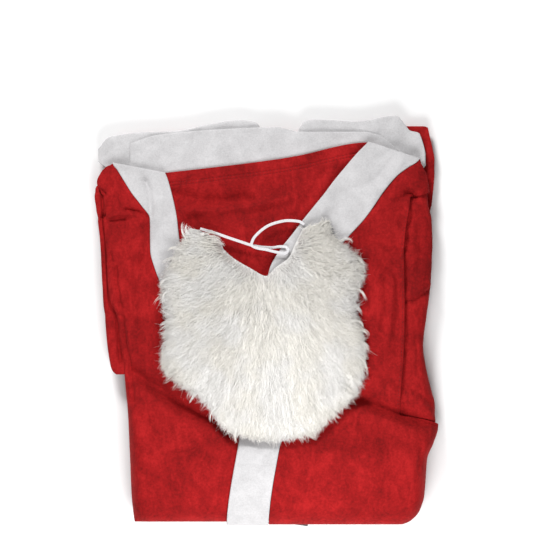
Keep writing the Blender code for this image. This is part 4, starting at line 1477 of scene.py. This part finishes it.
def make_fur(fur, number, count, points):
    """One share of the fur's hairs, in locks that gather towards their tips."""
    settings = bpy.context.scene.suit_fur
    rng = np.random.default_rng(settings.seed + number)
    pitch = settings.lock / MM
    columns, rows = np.meshgrid(np.arange(-120, 120, pitch), np.arange(-130, 125, pitch))
    x = (columns + rng.uniform(-0.5, 0.5, columns.shape) * pitch * 1.1).ravel()
    y = (rows + rng.uniform(-0.5, 0.5, rows.shape) * pitch * 1.1).ravel()
    kept = fur.look(fur.rooted, x, y) > LOCK_ROOT
    x, y = x[kept], y[kept]
    lock_x, lock_y, curl = lock_paths(fur, rng, x, y, points, 5.0)
    lock = np.repeat(np.arange(len(x)), count)
    total = len(lock)
    u = np.linspace(0, 1, points)[None]
    outer = 1 - np.clip((fur.look(fur.rooted, lock_x[:, -1], lock_y[:, -1]) - 0.3) / 0.6, 0, 1)
    gather = np.clip(rng.uniform(0.3, 0.85, len(x)) + 0.35 * outer, 0, 0.93)[lock][:, None]
    spread_out = rng.normal(0, 2.3, (2, total))
    loose = 1 - gather * u**1.3
    stray = rng.normal(0, 1.0, (2, total)) * np.where(rng.random(total) < 0.06, 4.0, 0.8)
    wave = np.sin(2 * np.pi * (rng.uniform(0.5, 1.3, total)[:, None] * u + rng.random(total)[:, None]))
    wave *= (rng.uniform(0.2, 0.7, total) * (0.5 + 1.6 * curl[lock]))[:, None] * u
    path_x = lock_x[lock] + spread_out[0][:, None] * loose + stray[0][:, None] * u**2 + wave
    path_y = lock_y[lock] + spread_out[1][:, None] * loose + stray[1][:, None] * u**2 - 0.6 * wave
    rooted = fur.look(fur.rooted, path_x[:, 0], path_y[:, 0]) > HAIR_ROOT
    path_x, path_y = path_x[rooted], path_y[rooted]
    total = len(path_x)
    lift = rng.uniform(0.2, 1.0, total)[:, None]
    body = fur.look(fur.drape, path_x, path_y)
    ground = top(path_x, path_y, True) - DEPTH_BEARD + BACKING
    arch = np.sin(np.pi * np.clip(u * 0.95 + 0.05, 0, 1)) * 2.6 * lift - 1.6 * (1 - u) ** 2
    path_z = ground + body * (1 - 0.12 * u) + arch - 0.3 * u
    floor_z = ground - BACKING + 0.6
    path_z = np.maximum(path_z, floor_z)
    paths = np.stack([path_x, path_y, path_z], axis=-1)
    radius = settings.thickness / MM / 2 * rng.uniform(0.7, 1.25, total)
    shade = np.clip(rng.uniform(0.76, 1.05, total) * rng.uniform(0.84, 1.1, len(lock_x))[lock[rooted]], 0, 1)
    finish = bpy.data.materials.get("beard_hair") or fur_pile("beard_hair", 1.0)
    return strands(f"beard_hair_{number}", paths, radius, 0.55, shade, finish, ["beard_fur"])


def make_wisps(fur):
    """Single wisps that curl out past the beard's outline."""
    rng = np.random.default_rng(bpy.context.scene.suit_fur.seed)
    table = np.array(WISPS, float)
    each = 11
    wisp = np.repeat(np.arange(len(table)), each)
    u = np.linspace(0, 1, 8)[None]
    path = []
    for axis in (0, 1):
        start, bend, end = (table[wisp, axis + 2 * step][:, None] for step in range(3))
        off = rng.normal(0, 1.3, len(wisp))[:, None] * (1 - 0.75 * u)
        stray = rng.normal(0, 0.9, len(wisp))[:, None] * u**2
        path.append(start * (1 - u) ** 2 + 2 * bend * u * (1 - u) + end * u**2 + off + stray)
    path_x, path_y = path
    ground = top(path_x, path_y, True) - DEPTH_BEARD + BACKING
    level = np.maximum(fur.look(fur.drape, path_x, path_y), 1.0) + 1.6 * np.sin(np.pi * u)
    level = level + rng.uniform(0, 1, len(wisp))[:, None]
    paths = np.stack([path_x, path_y, ground + level], axis=-1)
    radius = bpy.context.scene.suit_fur.thickness / MM / 2 * rng.uniform(0.6, 1.1, len(wisp))
    finish = bpy.data.materials["beard_hair"]
    shade = np.full(len(wisp), 1.0)
    return strands("beard_wisps", paths, radius, 0.5, shade, finish, ["beard_fur"])


def make_beard():
    """The beard: its knitted back, the fur's body and the hairs on it."""
    fur = Fur()
    alongs = np.linspace(0, 1, 120)
    outs = np.linspace(0, BACKING_REACH, 30)

    def backing(row, column, layer):
        along = np.clip(alongs[column], 0.015, 0.985)
        x, y = fur.plan(along, np.maximum(outs[row], 0.03))
        return np.stack([x, y, top(x, y, True) - DEPTH_BEARD + BACKING * layer], axis=-1)

    knit = finish_of(knit_backing)
    back = wall("beard_knit", len(outs), len(alongs), backing, knit, ["beard_backing"])
    alongs = np.linspace(0, 1, 150)
    outs = np.linspace(0, 1, 52)

    def body(row, column, layer):
        along, out = alongs[column], outs[row]
        x, y = fur.plan(along, out * 0.97)
        uneven = 0.7 * np.sin(x / 2.3 + 2 * np.sin(y / 5.1)) * np.sin(y / 3.1 + 1.4 * np.sin(x / 4.3))
        edge = np.minimum(np.minimum(out, 1 - out) * 12, 1) * np.minimum(np.minimum(along, 1 - along) * 40, 1)
        height = fur.height(along, out, x, y) * np.sqrt(np.maximum(edge, 0.02)) + uneven * edge - 2.4
        lift = BACKING + 0.3 + np.maximum(height, 0.4) * layer
        return np.stack([x, y, top(x, y, True) - DEPTH_BEARD + lift], axis=-1)

    pile = finish_of(fur_body)
    pieces = [wall("beard_fur_body", len(outs), len(alongs), body, pile, ["beard_fur"])]
    hairs = bpy.context.scene.suit_fur.hairs
    for number in range(1, HAIR_PIECES + 1):
        pieces.append(make_fur(fur, number, hairs // HAIR_PIECES, HAIR_POINTS))
    pieces.append(make_wisps(fur))
    return back, pieces


def elastic_route(points):
    """Middle line of the elastic, in metres."""
    numbered = [(i, *row) for i, row in enumerate(ELASTIC)]
    at = np.linspace(0, len(ELASTIC) - 1, points)
    x, y, lift = (smooth(numbered, column)(at) for column in (1, 2, 3))
    z = top(x, y, True) - DEPTH_RIGHT_TRIM + GAP + ELASTIC_HEIGHT + lift
    return np.stack([x, y, z], axis=-1) * MM


def make_elastic():
    """The flat elastic as a ribbed ribbon along its route."""
    route = elastic_route(220) / MM
    ahead = np.gradient(route, axis=0)
    side = np.cross(ahead, (0, 0, 1.0))
    side /= np.linalg.norm(side, axis=1, keepdims=True)
    width, thickness = ELASTIC_SIZE
    across = np.linspace(-1, 1, 13)
    ribs = 0.26 * np.sin(across * math.pi * 1.5) ** 2

    def point(row, column, layer):
        half = rim((1 - np.abs(across[column])) * width / 2, thickness)
        up = np.where(layer == 1, half + ribs[column], -half)
        flat = side[row] * (across[column] * width / 2)[:, None]
        return route[row] + flat + np.stack([0 * up, 0 * up, up], axis=-1)

    finish = finish_of(woven_elastic)
    return wall("elastic_ribbon", len(route), len(across), point, finish, ["beard_elastic"])


def make_belt():
    """A corner of the folded belt that looks out of the bottom fold: the strap turns back on itself."""
    width, reach, thickness = BELT
    middle = (BELT_HIGH + BELT_LOW) / 2
    radius = (BELT_HIGH - BELT_LOW) / 2
    back = np.linspace(reach, radius, 10)
    turn = np.radians(np.linspace(-90, 90, 15))
    along = np.concatenate([back[:-1], radius - radius * np.cos(turn), back[::-1][1:]])
    level = np.concatenate([np.full(9, -1.0), np.sin(turn), np.full(9, 1.0)])
    across = spread(width, 1.6, thickness)
    cosine, sine = math.cos(math.radians(BELT_TURN)), math.sin(math.radians(BELT_TURN))

    def point(row, column, layer):
        side = across[column] - width
        half = rim(np.minimum(across[column], width - across[column]), thickness)
        shell = radius - thickness / 2 + np.where(layer == 1, half, -half) * 0.98
        out = np.where(along[row] < radius, radius - (radius - along[row]) / radius * shell, along[row])
        stitched = 0.25 * np.exp(-(((np.minimum(-side, width + side) - 3.2) / 0.8) ** 2))
        z = middle + level[row] * (shell - stitched * layer)
        x = BELT_CORNER[0] + side * cosine - out * sine
        y = BELT_CORNER[1] + side * sine + out * cosine
        return np.stack([x, y, z], axis=-1)

    return wall("belt_strap", len(along), len(across), point, finish_of(coated_belt), ["belt"])


def plain_material(name, values, roughness):
    """Paint with faint clouds."""
    finish = Finish(name)
    clouds = finish.noise(3, 2, 0.5)
    painted = finish.blend(colour(values, 0.985), colour(values), clouds)
    return finish.set(base_color=painted, roughness=roughness)


def make_stage():
    """Floor, lights and camera."""
    settings = bpy.context.scene.suit_stage
    shaper = bmesh.new()
    bmesh.ops.create_grid(shaper, x_segments=1, y_segments=1, size=6.0)
    mesh = bpy.data.meshes.new("floor")
    shaper.to_mesh(mesh)
    shaper.free()
    floor = bpy.data.objects.new("floor", mesh)
    mesh.materials.append(plain_material("floor", settings.floor, 0.9))
    bpy.context.scene.collection.objects.link(floor)

    for name, size, at in LIGHTS:
        light = bpy.data.lights.new(name, "AREA")
        light.energy = getattr(settings, name)
        light.shape = "DISK"
        light.size = size
        lamp = bpy.data.objects.new(name, light)
        lamp.location = at
        lamp.rotation_euler = (-lamp.location).to_track_quat("-Z", "Y").to_euler()
        bpy.context.scene.collection.objects.link(lamp)
    world = bpy.context.scene.world or bpy.data.worlds.new("world")
    bpy.context.scene.world = world
    world.use_nodes = True
    background = world.node_tree.nodes["Background"]
    background.inputs["Color"].default_value = (1.0, 1.0, 1.0, 1.0)
    background.inputs["Strength"].default_value = settings.sky

    camera = bpy.data.cameras.new("camera")
    camera.sensor_width = 36.0
    camera.lens = camera.sensor_width * (settings.height - SEEN_HEIGHT) / settings.width
    camera.clip_end = 20.0
    view = bpy.data.objects.new("camera", camera)
    view.location = (*CAMERA_PLACE, settings.height)
    bpy.context.scene.collection.objects.link(view)
    bpy.context.scene.camera = view
    bpy.context.scene.view_settings.view_transform = "Standard"


class SUIT_OT_stage(bpy.types.Operator):
    """Add the floor, the lights and the camera"""

    bl_idname = "suit.stage"
    bl_label = "Stage"

    def execute(self, context):
        make_stage()
        return {"FINISHED"}


class SUIT_OT_layers(bpy.types.Operator):
    """Add the folded layers under the jacket"""

    bl_idname = "suit.layers"
    bl_label = "Folded layers"

    def execute(self, context):
        for piece in make_layers():
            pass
        return {"FINISHED"}


class SUIT_OT_jacket(bpy.types.Operator):
    """Add the jacket's fronts, trims and sleeves"""

    bl_idname = "suit.jacket"
    bl_label = "Jacket"

    def execute(self, context):
        left, right = make_fronts()
        low, high = make_trims()
        left, right = make_sleeves()
        return {"FINISHED"}


class SUIT_OT_neck(bpy.types.Operator):
    """Add the back of the neck and what lies behind it"""

    bl_idname = "suit.neck"
    bl_label = "Neck and trouser ends"

    def execute(self, context):
        back, band, left, right, leg = make_neck()
        make_stitches()
        return {"FINISHED"}


class SUIT_OT_beard(bpy.types.Operator):
    """Add the beard with its fur"""

    bl_idname = "suit.beard"
    bl_label = "Beard"

    def execute(self, context):
        back, pieces = make_beard()
        return {"FINISHED"}


class SUIT_OT_elastic(bpy.types.Operator):
    """Add the beard's elastic"""

    bl_idname = "suit.elastic"
    bl_label = "Elastic"

    def execute(self, context):
        piece = make_elastic()
        route = elastic_route(400)
        return {"FINISHED"}


class SUIT_OT_belt(bpy.types.Operator):
    """Add the folded belt"""

    bl_idname = "suit.belt"
    bl_label = "Belt"

    def execute(self, context):
        make_belt()
        return {"FINISHED"}


class SUIT_PT_panel(bpy.types.Panel):
    """The suit's pieces"""

    bl_label = "Suit"
    bl_idname = "SUIT_PT_panel"
    bl_space_type = "VIEW_3D"
    bl_region_type = "UI"
    bl_category = "Suit"

    def draw(self, context):
        for operator in OPERATORS:
            self.layout.operator(operator.bl_idname)
        for settings in (context.scene.suit_stage, context.scene.suit_cloth, context.scene.suit_fur):
            box = self.layout.box()
            for name in settings.__annotations__:
                box.prop(settings, name)


OPERATORS = (
    SUIT_OT_stage,
    SUIT_OT_elastic,
    SUIT_OT_layers,
    SUIT_OT_jacket,
    SUIT_OT_neck,
    SUIT_OT_beard,
    SUIT_OT_belt,
)
CLASSES = (StageSettings, ClothSettings, FurSettings, *OPERATORS, SUIT_PT_panel)


def register():
    for kind in CLASSES:
        bpy.utils.register_class(kind)
    bpy.types.Scene.suit_stage = bpy.props.PointerProperty(type=StageSettings)
    bpy.types.Scene.suit_cloth = bpy.props.PointerProperty(type=ClothSettings)
    bpy.types.Scene.suit_fur = bpy.props.PointerProperty(type=FurSettings)


def unregister():
    del bpy.types.Scene.suit_stage
    del bpy.types.Scene.suit_cloth
    del bpy.types.Scene.suit_fur
    for kind in reversed(CLASSES):
        bpy.utils.unregister_class(kind)


def main():
    """Registers the add-on and builds the whole suit."""
    register()
    bpy.ops.suit.stage()
    bpy.ops.suit.elastic()
    bpy.ops.suit.layers()
    bpy.ops.suit.jacket()
    bpy.ops.suit.neck()
    bpy.ops.suit.beard()
    bpy.ops.suit.belt()


if __name__ == "__main__":
    main()
